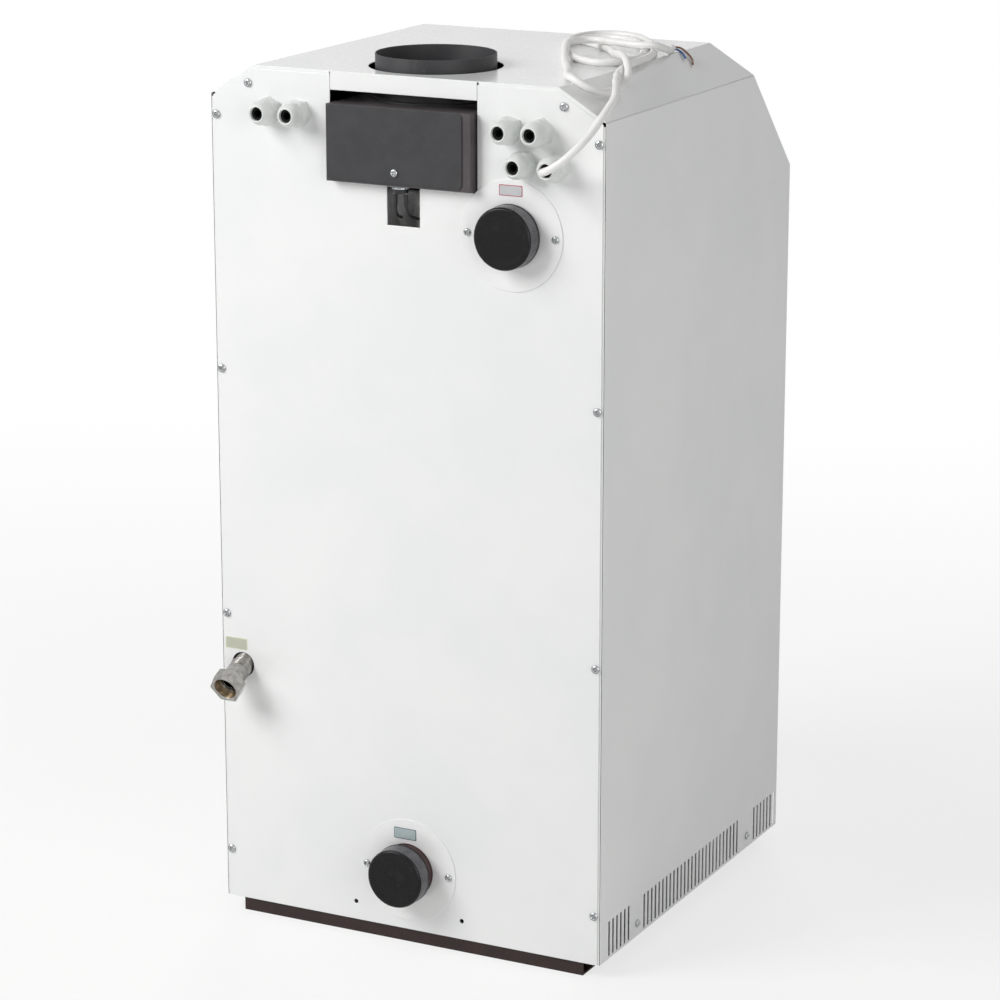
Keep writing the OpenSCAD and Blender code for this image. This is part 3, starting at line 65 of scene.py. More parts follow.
def makeFinish(name, look):
    # one surface finish from its dictionary: two close colours in soft clouds, a grain of real size as bump,
    # a roughness that wanders
    # with the grain, and patches: flecks where the real one has them, painted reflection on the bright plate,
    # and dust with painted sheen on the black plastic
    material = bpy.data.materials.new(name)
    material.use_nodes = True
    tree = material.node_tree
    tree.nodes.clear()
    place = addNode(tree, "ShaderNodeTexCoord").outputs["Object"]
    drawn = addNode(tree, "ShaderNodeMapping", {
        "Vector": place, "Scale": look.get("stretch", (1, 1, 1))}).outputs["Vector"]
    clouds = addNode(tree, "ShaderNodeTexNoise", {
        "Vector": drawn, "Scale": 1000 / look["cloudMm"], "Detail": 3.0, "Roughness": 0.55})
    grain = addNode(tree, "ShaderNodeTexNoise", {
        "Vector": drawn, "Scale": 1000 / look["grainMm"], "Detail": look.get("grainDetail", 2.0)})
    share = addNode(tree, "ShaderNodeMapRange", {
        "Value": clouds.outputs["Fac"], "From Min": 0.36, "From Max": 0.64})
    colour = addNode(tree, "ShaderNodeMix", {
        0: share.outputs["Result"], 6: hexToLinear(look["colour"]), 7: hexToLinear(look["shade"])},
        data_type="RGBA").outputs[2]
    rough = addNode(tree, "ShaderNodeMapRange", {
        "Value": grain.outputs["Fac"], "From Min": 0.3, "From Max": 0.7,
        "To Min": look["rough"][0], "To Max": look["rough"][1]}).outputs["Result"]
    if "fleck" in look:  # patches: dust, rust and oxide, and on two finishes painted reflection and painted sheen
        patches = addNode(tree, "ShaderNodeTexNoise", {
            "Vector": place, "Scale": 1000 / look["fleckMm"], "Detail": 6.0, "Roughness": 0.68})
        amount = addNode(tree, "ShaderNodeMapRange", {
            "Value": patches.outputs["Fac"], "From Min": look["fleckFrom"],
            "From Max": look["fleckFrom"] + 0.1}).outputs["Result"]
        colour = addNode(tree, "ShaderNodeMix", {
            0: amount, 6: colour, 7: hexToLinear(look["fleck"])}, data_type="RGBA").outputs[2]
        rough = addNode(tree, "ShaderNodeMix", {
            0: amount, 2: rough, 3: look.get("fleckRough", 0.75)}, data_type="FLOAT").outputs[0]
    bump = addNode(tree, "ShaderNodeBump", {
        "Height": grain.outputs["Fac"], "Distance": look["deepMm"] * millimetre})
    if "dentMm" in look:  # broad waves in sheet, or the creases of foil
        dents = addNode(tree, "ShaderNodeTexNoise", {
            "Vector": drawn, "Scale": 1000 / look["dentMm"], "Detail": look.get("dentDetail", 1.0)})
        bump = addNode(tree, "ShaderNodeBump", {
            "Height": dents.outputs["Fac"], "Distance": look["dentDeepMm"] * millimetre,
            "Normal": bump.outputs["Normal"]})
    shader = addNode(tree, "ShaderNodeBsdfPrincipled", {
        "Base Color": colour, "Roughness": rough, "Normal": bump.outputs["Normal"],
        "Metallic": look.get("metallic", 0.0), "Specular IOR Level": look.get("specular", 0.5),
        "Transmission Weight": look.get("glass", 0.0), "IOR": look.get("ior", 1.5)})
    addNode(tree, "ShaderNodeOutputMaterial", {"Surface": shader.outputs["BSDF"]})
    return material


def meshObject(name, points, faces, material, smoothAngle=35):
    # an object at the origin: doubles and seams closed, faces turned outwards, smooth up to an angle
    mesh = bpy.data.meshes.new(name)
    mesh.from_pydata(np.asarray(points).tolist(), [], faces)
    shell = bmesh.new()
    shell.from_mesh(mesh)
    bmesh.ops.remove_doubles(shell, verts=shell.verts, dist=2e-6)
    bmesh.ops.recalc_face_normals(shell, faces=shell.faces)
    shell.to_mesh(mesh)
    shell.free()
    mesh.shade_smooth()
    mesh.set_sharp_from_angle(angle=radians(smoothAngle))
    mesh.materials.append(material)
    piece = bpy.data.objects.new(name, mesh)
    scene.collection.objects.link(piece)
    return piece


def gridFaces(rows, columns, closeRows=False, closeColumns=True):
    # four corners of each cell of a rows x columns grid of points, wrapped round where it is closed
    r = np.arange(rows if closeRows else rows - 1)
    c = np.arange(columns if closeColumns else columns - 1)
    r, c = [a.ravel() for a in np.meshgrid(r, c, indexing="ij")]
    r2, c2 = (r + 1) % rows, (c + 1) % columns
    return np.stack([r * columns + c, r * columns + c2, r2 * columns + c2, r2 * columns + c], 1).tolist()


def smoothPath(stops, steps):
    # a uniform Catmull-Rom curve through the stops, its two ends mirrored
    stops = np.asarray(stops, float)
    ends = np.vstack([2 * stops[0] - stops[1], stops, 2 * stops[-1] - stops[-2]])
    a, b, c, d = [ends[k:len(ends) - 3 + k, None, :] for k in range(4)]
    t = (np.arange(steps) / steps)[None, :, None]
    curve = 0.5 * (2 * b + (c - a) * t + (2 * a - 5 * b + 4 * c - d) * t ** 2
                   + (3 * b - a - 3 * c + d) * t ** 3)
    return np.vstack([curve.reshape(-1, 3), stops[-1:]])


def sweptTube(name, path, radius, sides, material, reference=(0.0, 0.0, 1.0)):
    # a circle carried along a path: centre + radius (cos a * side + sin a * lift), a point closing each end
    path = np.asarray(path, float)
    radius = np.broadcast_to(np.asarray(radius, float), len(path))
    heading = np.gradient(path, axis=0)
    heading /= np.linalg.norm(heading, axis=1, keepdims=True)
    side = np.cross(heading, reference)
    side /= np.linalg.norm(side, axis=1, keepdims=True)
    lift = np.cross(side, heading)
    angle = np.linspace(0, 2 * np.pi, sides, endpoint=False)[None, :, None]
    rings = path[:, None, :] + radius[:, None, None] * (
        np.cos(angle) * side[:, None, :] + np.sin(angle) * lift[:, None, :])
    ends = np.repeat(path[[0, -1], None, :], sides, 1)
    rings = np.concatenate([ends[:1], rings, ends[1:]])
    return meshObject(name, rings.reshape(-1, 3), gridFaces(len(path) + 2, sides), material, 50)


def softProfile(corners, cut, steps=5):
    # a polyline whose inner corners become parabolas between points a short cut before and after them
    corners = np.asarray(corners, float)
    before, here, after = corners[:-2], corners[1:-1], corners[2:]
    cut = np.broadcast_to(np.asarray(cut, float), len(here))[:, None]
    back = np.linalg.norm(before - here, axis=1, keepdims=True)
    on = np.linalg.norm(after - here, axis=1, keepdims=True)
    start = here + (before - here) / back * np.minimum(cut, 0.49 * back)
    end = here + (after - here) / on * np.minimum(cut, 0.49 * on)
    t = np.linspace(0, 1, steps + 1)[None, :, None]
    bends = (1 - t) ** 2 * start[:, None] + 2 * t * (1 - t) * here[:, None] + t ** 2 * end[:, None]
    return np.vstack([corners[:1], bends.reshape(-1, 2), corners[-1:]])


def turned(profile, sides, acrossFlats=None, closed=False):
    # a profile of (radius, height) carried round an axis; with flats, the radius is the smaller of the
    # profile's and half the width across flats over the cosine of the angle from the flat's middle
    profile = np.asarray(profile, float)
    angle = np.linspace(0, 2 * np.pi, sides, endpoint=False)[None, :]
    radius = np.repeat(profile[:, :1], sides, 1)
    if acrossFlats is not None:
        fromFlat = (angle + np.pi / 6) % (np.pi / 3) - np.pi / 6
        radius = np.minimum(radius, acrossFlats / 2 / np.cos(fromFlat))
    height = np.repeat(profile[:, 1:2], sides, 1)
    points = np.stack([radius * np.cos(angle), radius * np.sin(angle), height], -1).reshape(-1, 3)
    return points, gridFaces(len(profile), sides, closeRows=closed)


def stood(shape, origin, axis, turn=0.0):
    # a shape in mm, stood with its height along an axis at a point of the part's frame in mm, in metres
    points, faces = shape
    axis = np.array(axis) / np.linalg.norm(axis)
    level = np.cross((0.0, 0.0, 1.0), axis)
    level = np.array([1.0, 0.0, 0.0]) if np.linalg.norm(level) < 1e-6 else level / np.linalg.norm(level)
    up = np.cross(axis, level)
    c, s = np.cos(turn), np.sin(turn)
    x, y, z = points[:, 0:1] * c - points[:, 1:2] * s, points[:, 0:1] * s + points[:, 1:2] * c, points[:, 2:3]
    return (origin + x * level + y * up + z * axis) * millimetre, faces


def roundedPlate(width, height, thick, radius, steps=6, edge=0.0):
    # a flat plate with rounded corners: its outline is four quarter circles, carried up a softened side
    # to its middle; the middle of each face is one flat polygon
    corner = np.linspace(0, np.pi / 2, steps + 1)
    turn = (np.arange(4) * np.pi / 2)[:, None]
    signs = np.array([[1, 1], [-1, 1], [-1, -1], [1, -1]])[:, None, :]
    mid = signs * (width / 2 - radius, height / 2 - radius)
    arc = np.stack([np.cos(corner + turn), np.sin(corner + turn)], -1)
    outer = (mid + radius * arc).reshape(-1, 2)
    inner = (mid + (radius - edge) * arc).reshape(-1, 2)
    n = len(outer)
    levels = [(inner, 0.0), (outer, edge), (outer, thick - edge), (inner, thick)]
    points = np.vstack([np.column_stack([o, np.full(n, z)]) for o, z in levels])
    faces = gridFaces(4, n)
    return points, faces + [list(range(n))[::-1], list(range(3 * n, 4 * n))]


def joinedObject(name, shapes, material, smoothAngle=35):
    # several shapes in one object, each one's faces counted on from those before it
    points, faces, count = [], [], 0
    for p, f in shapes:
        points.append(p)
        faces += [[k + count for k in face] for face in f]
        count += len(p)
    return meshObject(name, np.vstack(points), faces, material, smoothAngle)


def settle(piece, body, slot, *nodes):
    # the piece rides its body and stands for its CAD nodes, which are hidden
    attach(piece, body)
    if nodes:
        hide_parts(*nodes)
    return piece


folds = {"out": 0.2345, "long": 0.1}  # m: how far from the middle a fold lies, and its least length


def dress(node, material, slot, body="casing", edgeMm=0.5, foldMm=None, segments=2, whole=True):
    # a merged copy of a CAD node: its triangles joined, flat faces made whole, and its edges rounded;
    # a fold along the casing's outer corners is rounded wider than a cut edge
    shell = bmesh.new()
    shell.from_mesh(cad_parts[node].data)
    bmesh.ops.remove_doubles(shell, verts=shell.verts, dist=2e-6)
    if whole:
        bmesh.ops.dissolve_limit(shell, angle_limit=radians(0.4), verts=shell.verts, edges=shell.edges)
    weights = shell.edges.layers.float.new("bevel_weight_edge")
    widest = foldMm or edgeMm
    for edge in shell.edges:
        if len(edge.link_faces) == 2 and edge.calc_face_angle(0) > radians(27):
            ends = edge.verts[0].co, edge.verts[1].co
            outside = min(abs(ends[0].x), abs(ends[1].x)) > folds["out"]
            onFold = foldMm and outside and edge.calc_length() > folds["long"]
            edge[weights] = 1.0 if onFold else edgeMm / widest
    mesh = bpy.data.meshes.new(node + "_finished")
    shell.to_mesh(mesh)
    shell.free()
    mesh.shade_smooth()
    mesh.materials.append(material)
    piece = bpy.data.objects.new(node + "_finished", mesh)
    scene.collection.objects.link(piece)
    bevel = piece.modifiers.new("worn edges", "BEVEL")
    bevel.limit_method = "WEIGHT"
    bevel.width = widest * millimetre
    bevel.segments = segments
    bevel.use_clamp_overlap = False
    evened = piece.modifiers.new("evened shading", "WEIGHTED_NORMAL")
    evened.mode = "FACE_AREA"
    return settle(piece, body, slot, node)


viewpoint = {"place": (-1.7289, 3.40328, 1.4836), "towards": (0.4385, -0.8602, -0.2606), "lens": 125.2}
camera = bpy.data.objects.new("camera", bpy.data.cameras.new("camera"))
scene.collection.objects.link(camera)
camera.data.lens = viewpoint["lens"]
camera.data.sensor_width = 36
camera.data.clip_end = 50
gaze = Vector(viewpoint["towards"]).normalized().to_track_quat("-Z", "Y")
camera.matrix_world = Matrix.Translation(viewpoint["place"]) @ gaze.to_matrix().to_4x4()
scene.camera = camera
scene.view_settings.view_transform = "Standard"

lamps = {
    "keyLamp": {"place": (1.75, 2.1, 2.25), "watts": 75, "size": 1.7},  # to the left of the rear face
    "fillLamp": {"place": (-3.1, 2.2, 1.3), "watts": 44, "size": 2.6},  # behind the viewer, for soft shadows
    "topLamp": {"place": (-0.2, 0.3, 3.0), "watts": 6, "size": 1.4},  # over the top panel
    "frontLamp": {"place": (1.3, -3.4, 1.2), "watts": 64, "size": 1.6, "mirrored": False},  # the door's side
}
for lampName, lamp in lamps.items():
    light = bpy.data.lights.new(lampName, "AREA")
    light.energy = lamp["watts"]
    light.size = lamp["size"]
    holder = bpy.data.objects.new(lampName, light)
    holder.visible_glossy = lamp.get("mirrored", True)
    scene.collection.objects.link(holder)
    aim = (Vector((0, 0, 0.5)) - Vector(lamp["place"])).to_track_quat("-Z", "Y")
    holder.matrix_world = Matrix.Translation(lamp["place"]) @ aim.to_matrix().to_4x4()


def seenDirectly(tree):
    # 1 for what the eye sees itself, in a mirror or through glass, and 0 for light that falls on the object
    rays = addNode(tree, "ShaderNodeLightPath").outputs
    seen = addNode(tree, "ShaderNodeMath", {
        0: rays["Is Camera Ray"], 1: rays["Is Glossy Ray"]}, operation="ADD")
    seen = addNode(tree, "ShaderNodeMath", {
        0: seen.outputs[0], 1: rays["Is Transmission Ray"]}, operation="ADD", use_clamp=True)
    return seen.outputs[0]


studio = {
    "ambient": 0.13,  # strength of the white room as a light
    "floorRadius": 9.0,  # m
    "lift": 0.72, "liftFrom": 0.6, "liftTo": 2.5,  # share of white over the floor, from these radii, m, to 1
}
world = bpy.data.worlds.new("studio")
scene.world = world
world.use_nodes = True
room = world.node_tree
room.nodes.clear()
strength = addNode(room, "ShaderNodeMapRange", {
    "Value": seenDirectly(room), "To Min": studio["ambient"], "To Max": 1.0})
backdrop = addNode(room, "ShaderNodeBackground", {
    "Color": (1, 1, 1, 1), "Strength": strength.outputs["Result"]})
addNode(room, "ShaderNodeOutputWorld", {"Surface": backdrop.outputs["Background"]})


def paleFloor():
    # a matt white floor that is lifted to white for the eye, but keeps part of the object's shadow
    material = bpy.data.materials.new("matt white studio floor")
    material.use_nodes = True
    tree = material.node_tree
    tree.nodes.clear()
    place = addNode(tree, "ShaderNodeTexCoord").outputs["Object"]
    away = addNode(tree, "ShaderNodeVectorMath", {0: place}, operation="LENGTH")
    lifted = addNode(tree, "ShaderNodeMapRange", {
        "Value": away.outputs["Value"], "From Min": studio["liftFrom"], "From Max": studio["liftTo"],
        "To Min": studio["lift"], "To Max": 1.0})
    share = addNode(tree, "ShaderNodeMath", {
        0: seenDirectly(tree), 1: lifted.outputs["Result"]}, operation="MULTIPLY")
    matt = addNode(tree, "ShaderNodeBsdfDiffuse", {"Color": hexToLinear("f2f2f1")})
    white = addNode(tree, "ShaderNodeEmission", {"Color": (1, 1, 1, 1), "Strength": 1.0})
    both = addNode(tree, "ShaderNodeMixShader", {
        0: share.outputs[0], 1: matt.outputs[0], 2: white.outputs[0]})
    addNode(tree, "ShaderNodeOutputMaterial", {"Surface": both.outputs[0]})
    return material


around = np.linspace(0, 2 * np.pi, 64, endpoint=False)
floorPoints = np.stack([np.cos(around), np.sin(around), 0 * around], 1) * studio["floorRadius"]
floor = meshObject("studio_floor", floorPoints, [list(range(64))], paleFloor())
print("camera, lamps and floor are set")

# extruded PVC cord jacket: a soft satin skin with a faint draw along its length
cordJacket = makeFinish("white PVC cord jacket", {
    "colour": "f5f4f2", "shade": "efeeeb", "cloudMm": 30, "grainMm": 2.2, "deepMm": 0.02,
    "rough": (0.34, 0.46), "ior": 1.53})

cord = {
    "across": 8.0, "length": 1.8974, "sides": 16, "steps": 8, "mouth": (-180.3, 30, 884.9),
    # stops as [x, depth in from the rear face, height above the floor], mm; a depth under 0 is behind it
    "route": [
        [-180.3, -8, 884.9], [-180.3, -31, 884.9], [-185.5, -46, 886.4], [-198, -54, 892],
        [-213, -51.5, 902.5], [-225, -41, 916], [-232, -27, 929], [-236, -12, 942],
        [-237, 3, 951], [-236, 17, 958],
        [-230, 32, 963], [-223, 48, 966], [-215, 64, 967], [-208, 82, 967], [-200, 98, 967],
        [-194, 114, 967], [-190, 132, 969], [-187, 150, 970],
        [-186, 170, 971], [-184, 196, 971], [-180, 225, 971], [-168, 261, 971], [-151, 296, 971],
        [-130, 330, 971], [-103, 360, 971], [-74, 373, 971], [-50, 361, 971], [-42, 333, 971],
        [-47, 300, 971], [-60, 264, 971], [-79, 228, 971], [-101, 194, 971], [-126, 168, 971],
        [-150, 158, 971], [-169, 170, 971], [-174, 198, 971], [-168, 231, 971], [-154, 264, 971],
        [-137, 295, 971], [-118, 322, 971], [-95, 341, 971], [-73, 343, 971], [-57, 330, 971],
        [-57, 311, 971], [-71, 297, 971], [-92, 282, 971], [-117, 256, 971], [-143, 214, 973],
        [-168, 169, 979.5], [-191, 137, 981], [-203, 120, 972], [-209, 103, 962], [-211, 85, 957],
        [-211, 66, 957], [-207, 47, 958], [-196, 34, 964],
        [-180, 34, 972], [-166, 50, 972], [-145, 94, 971], [-120, 140, 971], [-105, 170, 972.5],
        [-94, 195, 979], [-85, 220, 981], [-80, 242, 979.5], [-86, 259, 979], [-101, 264, 979],
        [-120, 254, 980], [-141, 244, 980], [-160, 240, 980], [-174, 246, 980], [-181, 260, 975],
        [-179, 278, 971], [-174, 296, 971]],
}
cores = {
    "across": 2.2,
    "green": [[-172, 297, 972], [-168, 308, 970.5], [-162, 320, 968.4], [-158, 334, 968.2]],
    "brown": [
        [-175.6, 297, 972], [-180, 306, 969.8], [-188, 306, 964.6], [-196, 300, 959.8], [-202, 289, 956]],
    "blue": [[-173.6, 297, 969.2], [-178, 302, 968.4], [-185, 298, 966.2], [-192, 291, 962]],
}


def placed(stops, steps):
    # stops in the casing's measures become a smooth path in metres in the part's frame
    path = smoothPath(stops, steps)
    return np.stack([path[:, 0], rearMm - path[:, 1], path[:, 2]], 1) * millimetre


cordPath = placed(cord["route"], cord["steps"])
cordRadius = cord["across"] / 2 * millimetre
mainsCord = sweptTube("mains_cord_jacket", cordPath, cordRadius, cord["sides"], cordJacket)
settle(mainsCord, "casing", "cord_pvc", "mains_cord")

coreLooks = {  # thin PVC core skins, glossier than the jacket
    "brown": ("7a4628", "6b3c22"), "blue": ("3b6fb0", "3563a0"), "green": ("6f9c3c", "c9b43a")}
for coreName, (colour, shade) in coreLooks.items():
    skin = makeFinish("PVC core skin " + coreName, {
        "colour": colour, "shade": shade, "cloudMm": 6, "grainMm": 1.0, "deepMm": 0.01,
        "rough": (0.3, 0.4), "ior": 1.53})
    corePath = placed(cores[coreName], 8)
    piece = sweptTube("core_" + coreName, corePath, cores["across"] / 2 * millimetre, 12, skin)
    settle(piece, "casing", "core_pvc", "cord_cores")
print("mains cord and its cores are laid")

# white polyester powder coat on sheet steel: high gloss over a fine orange peel, whose 1.6 mm ripples
# are drawn 4 mm wide so that they show; the sheet's slow waves bend its reflections a little
whiteCoat = makeFinish("white powder-coated sheet steel", {
    "colour": "f0f1f0", "shade": "eceded", "cloudMm": 140, "grainMm": 4.0, "grainDetail": 1.0,
    "deepMm": 0.012, "rough": (0.15, 0.22), "dentMm": 180, "dentDeepMm": 0.35,
    "fleck": "e2e2de", "fleckMm": 26, "fleckFrom": 0.69, "fleckRough": 0.35})
casingSheets = {"edge": 0.4, "fold": 1.4}  # mm: rounding of cut edges and of folds
for node in ("rear_panel", "top_panel", "side_panel_left", "side_panel_right"):
    dress(node, whiteCoat, "white_enamel", edgeMm=casingSheets["edge"], foldMm=casingSheets["fold"],
          segments=3)
dress("floor_pan", whiteCoat, "white_enamel", edgeMm=casingSheets["edge"])
# the plinth's row of slots leaves no simple outline, so its faces stay as they are
dress("front_plinth", whiteCoat, "white_enamel", edgeMm=0.15, whole=False)
dress("front_door", whiteCoat, "white_enamel", "door", edgeMm=0.55, segments=3)

# brown primer brushed on rolled steel tube: nearly flat, with rubbed spots where the rust comes through
basePaint = makeFinish("brown primed steel tube", {
    "colour": "30221f", "shade": "281d1b", "cloudMm": 18, "grainMm": 1.4, "deepMm": 0.05,
    "rough": (0.48, 0.66), "fleck": "5d4233", "fleckMm": 9, "fleckFrom": 0.64, "specular": 0.35})
dress("base_frame", basePaint, "base_paint", edgeMm=0.3)

# zinc-plated pan heads: cool grey metal, a little uneven from the plating bath
zincPlate = makeFinish("zinc-plated steel", {
    "colour": "aeb0b1", "shade": "96999a", "cloudMm": 3, "grainMm": 0.8, "deepMm": 0.01,
    "rough": (0.16, 0.28), "metallic": 1.0})
screwKinds = {  # mm: shank, head, its height and the shank's length
    "panel": (5.0, 9.3, 2.8, 12), "side": (5.0, 9.3, 2.8, 10),
    "disc": (5.0, 8.0, 2.6, 10), "cover": (4.0, 8.4, 2.6, 9)}
screwRows = {  # mm
    "side": 227.5, "lowest": 72.5, "pitch": 279.6,  # up both sides of the rear panel
    "cornerSide": 187.3, "cornerHigh": 947.5,  # at its top corners
    "besidePipe": 51.25, "onDisc": 1.2,
    "flank": 235.0, "flankHigh": 31.5, "flankIn": (96.0, 402.5),  # low on the casing's sides
    "cover": (3.6, rearMm + 13.2, 866.4),
}
backwards = (0, 1, 0)
screwPlaces = [
    ("panel", (s * screwRows["side"], rearMm, screwRows["lowest"] + screwRows["pitch"] * i), backwards)
    for s in (-1, 1) for i in range(4)]
screwPlaces += [
    ("panel", (s * screwRows["cornerSide"], rearMm, screwRows["cornerHigh"]), backwards) for s in (-1, 1)]
screwPlaces += [
    ("disc", (x + s * screwRows["besidePipe"], rearMm + screwRows["onDisc"], z), backwards)
    for x, z in pipePlaces.values() for s in (-1, 1)]
screwPlaces += [
    ("side", (s * screwRows["flank"], rearMm - d, screwRows["flankHigh"]), (s, 0, 0))
    for s in (-1, 1) for d in screwRows["flankIn"]]
screwPlaces += [("cover", screwRows["cover"], backwards)]


def panScrew(shank, head, high, length):
    # a pan head: height = high - flat * (r / R)^4 inside the rim, with a cross sunk in it whose depth falls
    # off as 1 - (across / half width)^2 from the middle of each arm and to nothing at the arm's end
    r = np.concatenate([np.linspace(0.02, 0.8, 15), [0.88, 0.95, 0.99, 1.0]]) * head / 2
    top = high - 0.5 * high * (2 * r / head) ** 4
    rings = np.vstack([
        np.stack([r, top], 1), [[head / 2, 0.1], [head / 2 - 0.1, 0]],
        [[shank / 2, 0], [shank / 2, -length], [0.02, -length]]])
    points, faces = turned(rings, 64)
    x, y = np.abs(points[:, 0]), np.abs(points[:, 1])
    along, across = np.maximum(x, y), np.minimum(x, y)
    arm = np.clip(1.3 - 1.3 * (across / 0.95) ** 2, 0, 1) * np.clip(2.6 - 2.6 * along / (0.3 * head), 0, 1)
    points[:, 2] -= np.where(points[:, 2] > 0.3 * high, 1.5 * arm, 0)
    return points, faces


screws = [  # each one turned on from the last
    stood(panScrew(*screwKinds[kind]), place, axis, 0.5 + 1.9 * k)
    for k, (kind, place, axis) in enumerate(screwPlaces)]
settle(joinedObject("pan_head_screws", screws, zincPlate, 40), "casing", "zinc", "casing_screws")
dress("hinge_pins", zincPlate, "zinc", edgeMm=0.2)
print("casing is dressed")

# matt heat-proof paint on sheet steel: charcoal, a dry grain of 1 mm, dust and scuffs in the hollows
paintLook = {
    "grainMm": 1.0, "grainDetail": 3.0, "deepMm": 0.03, "dentMm": 70, "dentDeepMm": 0.3, "specular": 0.35}
heatPaint = makeFinish("charcoal heat-proof paint", {
    "colour": "38383a", "shade": "323234", "cloudMm": 22, "rough": (0.42, 0.6),
    "fleck": "5a5654", "fleckMm": 16, "fleckFrom": 0.68, **paintLook})
# the same paint on the hood's body: lighter and browner than on its cover, with more flecks
hoodBodyPaint = makeFinish("heat-proof paint of the hood body", {
    "colour": "4b4648", "shade": "423d3f", "cloudMm": 30, "rough": (0.45, 0.62),
    "fleck": "6a625e", "fleckMm": 14, "fleckFrom": 0.64, **paintLook})
dress("hood_body", hoodBodyPaint, "heat_paint", edgeMm=0.7, segments=3)
dress("hood_cover", heatPaint, "heat_paint", edgeMm=0.4)
dress("smoke_collector", heatPaint, "heat_paint", edgeMm=0.6)
dress("door_handle", heatPaint, "heat_paint", "door", edgeMm=0.8, segments=3)

flueCollar = {  # mm
    "across": 130.0, "wall": 1.0, "foot": 934.0, "top": 980.7, "flange": 5.0, "x": 6.5, "depth": 87.0,
    "seam": 0.35, "seamAt": 1.68, "seamWide": 0.025,  # its height in mm; its place and width in radians
}


def collarTube(c):
    # the collar's section carried round its axis, the wall pushed out a little along one weld seam by
    # seam * exp(-(angle / width)^2), and the rim rolled over a half circle
    r, top, foot = c["across"] / 2, c["top"], c["foot"]
    roll = np.linspace(0, np.pi, 9)
    mid = r - c["wall"] / 2
    rim = np.stack([mid + c["wall"] / 2 * np.cos(roll), top - 0.5 + 0.5 * np.sin(roll)], 1)
    flange = [
        [r - c["wall"], foot], [r + c["flange"], foot], [r + c["flange"], foot + 1.4],
        [r + 1.2, foot + 1.6], [r, foot + 2.6]]
    points, faces = turned(np.vstack([flange, rim, [[r - c["wall"], foot]]]), 192)
    angle = np.arctan2(points[:, 1], points[:, 0])
    out = c["seam"] * np.exp(-((angle - c["seamAt"]) / c["seamWide"]) ** 2)
    points[:, 0] -= out * np.cos(angle)
    points[:, 1] -= out * np.sin(angle)
    return points, faces


points, faces = stood(collarTube(flueCollar), (flueCollar["x"], rearMm - flueCollar["depth"], 0), (0, 0, 1))
settle(meshObject("flue_collar_tube", points, faces, heatPaint, 40), "casing", "heat_paint", "flue_collar")

# mild steel as it leaves the shears: grey with soft bluish clouds and a bloom of brown oxide
millSteel = makeFinish("mill-finish mild steel", {
    "colour": "84878a", "shade": "74777b", "cloudMm": 40, "grainMm": 1.2, "deepMm": 0.02,
    "rough": (0.36, 0.54), "metallic": 1.0, "fleck": "5b5049", "fleckMm": 30, "fleckFrom": 0.62})
for node in ("sensor_bracket", "hinge_brackets"):
    dress(node, millSteel, "bare_steel", edgeMm=0.25)
for node in (
        "gas_elbow", "gas_pipe", "jacket_shell", "jacket_frame", "firebox", "smoke_tubes", "burner_tray",
        "gas_manifold"):
    dress(node, millSteel, "bare_steel")
dress("sight_shutter", millSteel, "bare_steel", "shutter", edgeMm=0.25)

# the draught sensor: a bright flange under its bracket, a black body below it, two blades pointing down
sensor = {"place": (0.5, rearMm + 5.0, 850.8), "flange": 9.5, "body": 8.0, "reach": 6.4}
down = (0, 0, -1)
flangeR, bodyR = sensor["flange"], sensor["body"]
flangeProfile = softProfile([(0.01, 0), (flangeR, 0), (flangeR, 1.5), (flangeR - 0.9, 1.7), (0.01, 1.7)], 0.3)
bodyProfile = softProfile([
    (0.01, 1.4), (bodyR + 0.3, 1.4), (bodyR, 2.6), (bodyR, 6.0), (bodyR - 0.6, 6.5), (0.01, 6.5)], 0.3)
points, faces = roundedPlate(width=3.2, height=5.4, thick=0.8, radius=0.7)
points = np.stack([points[:, 0], points[:, 2] - 0.4, points[:, 1] + 8.8], 1)  # on edge, below the body
blades = [
    stood((points + (side * sensor["reach"], 0, 0), faces), sensor["place"], down)
    for side in (-1, 1)]
flange = stood(turned(flangeProfile, 64), sensor["place"], down)
plated = joinedObject("draught_sensor_flange", [flange] + blades, zincPlate)
settle(plated, "casing", "zinc", "draught_sensor")

# soft black vinyl sleeving on the sensor's wires: satin, slightly creased
blackSleeve = makeFinish("black vinyl sleeving", {
    "colour": "1f1f21", "shade": "262628", "cloudMm": 5, "grainMm": 1.0, "deepMm": 0.02,
    "rough": (0.34, 0.48), "ior": 1.52, "specular": 0.35})
body = stood(turned(bodyProfile, 64), sensor["place"], down)
settle(joinedObject("draught_sensor_body", [body], blackSleeve), "casing", "black_plastic", "draught_sensor")
for side, label in ((-1, "left"), (1, "right")):
    x = sensor["place"][0] + side * sensor["reach"]
    boot = placed([(x, -5, 843.3), (x, -5, 839), (x, -5, 835), (x, -5, 830)], 6)
    bootR = np.interp(np.linspace(0, 1, len(boot)), [0, 0.05, 0.8, 1], [2.0, 2.4, 2.4, 1.7])
    wire = placed([
        (x, -5, 833), (x + side * 0.2, -4.5, 828), (x + side, 0, 821.3), (x + side * 2.3, 7, 817.3),
        (x + side * 4, 16, 814.3)], 8)
    for part, path, radius in (("boot", boot, bootR), ("wire", wire, 1.5)):
        name = "sensor_" + part + "_" + label
        piece = sweptTube(name, path, radius * millimetre, 16, blackSleeve, (1.0, 0.0, 0.0))
        settle(piece, "casing", "black_plastic", "sensor_wires")
print("hood, collar and draught sensor are made")

# red-brown oxide primer on the heating pipes: flat, brushed round
oxidePrimer = makeFinish("oxide primer on steel pipe", {
    "colour": "57403f", "shade": "4a3638", "cloudMm": 14, "grainMm": 1.2, "deepMm": 0.04,
    "rough": (0.5, 0.66), "fleck": "3a2c2e", "fleckMm": 8, "fleckFrom": 0.62, "specular": 0.35})
dress("water_pipes", oxidePrimer, "primer")
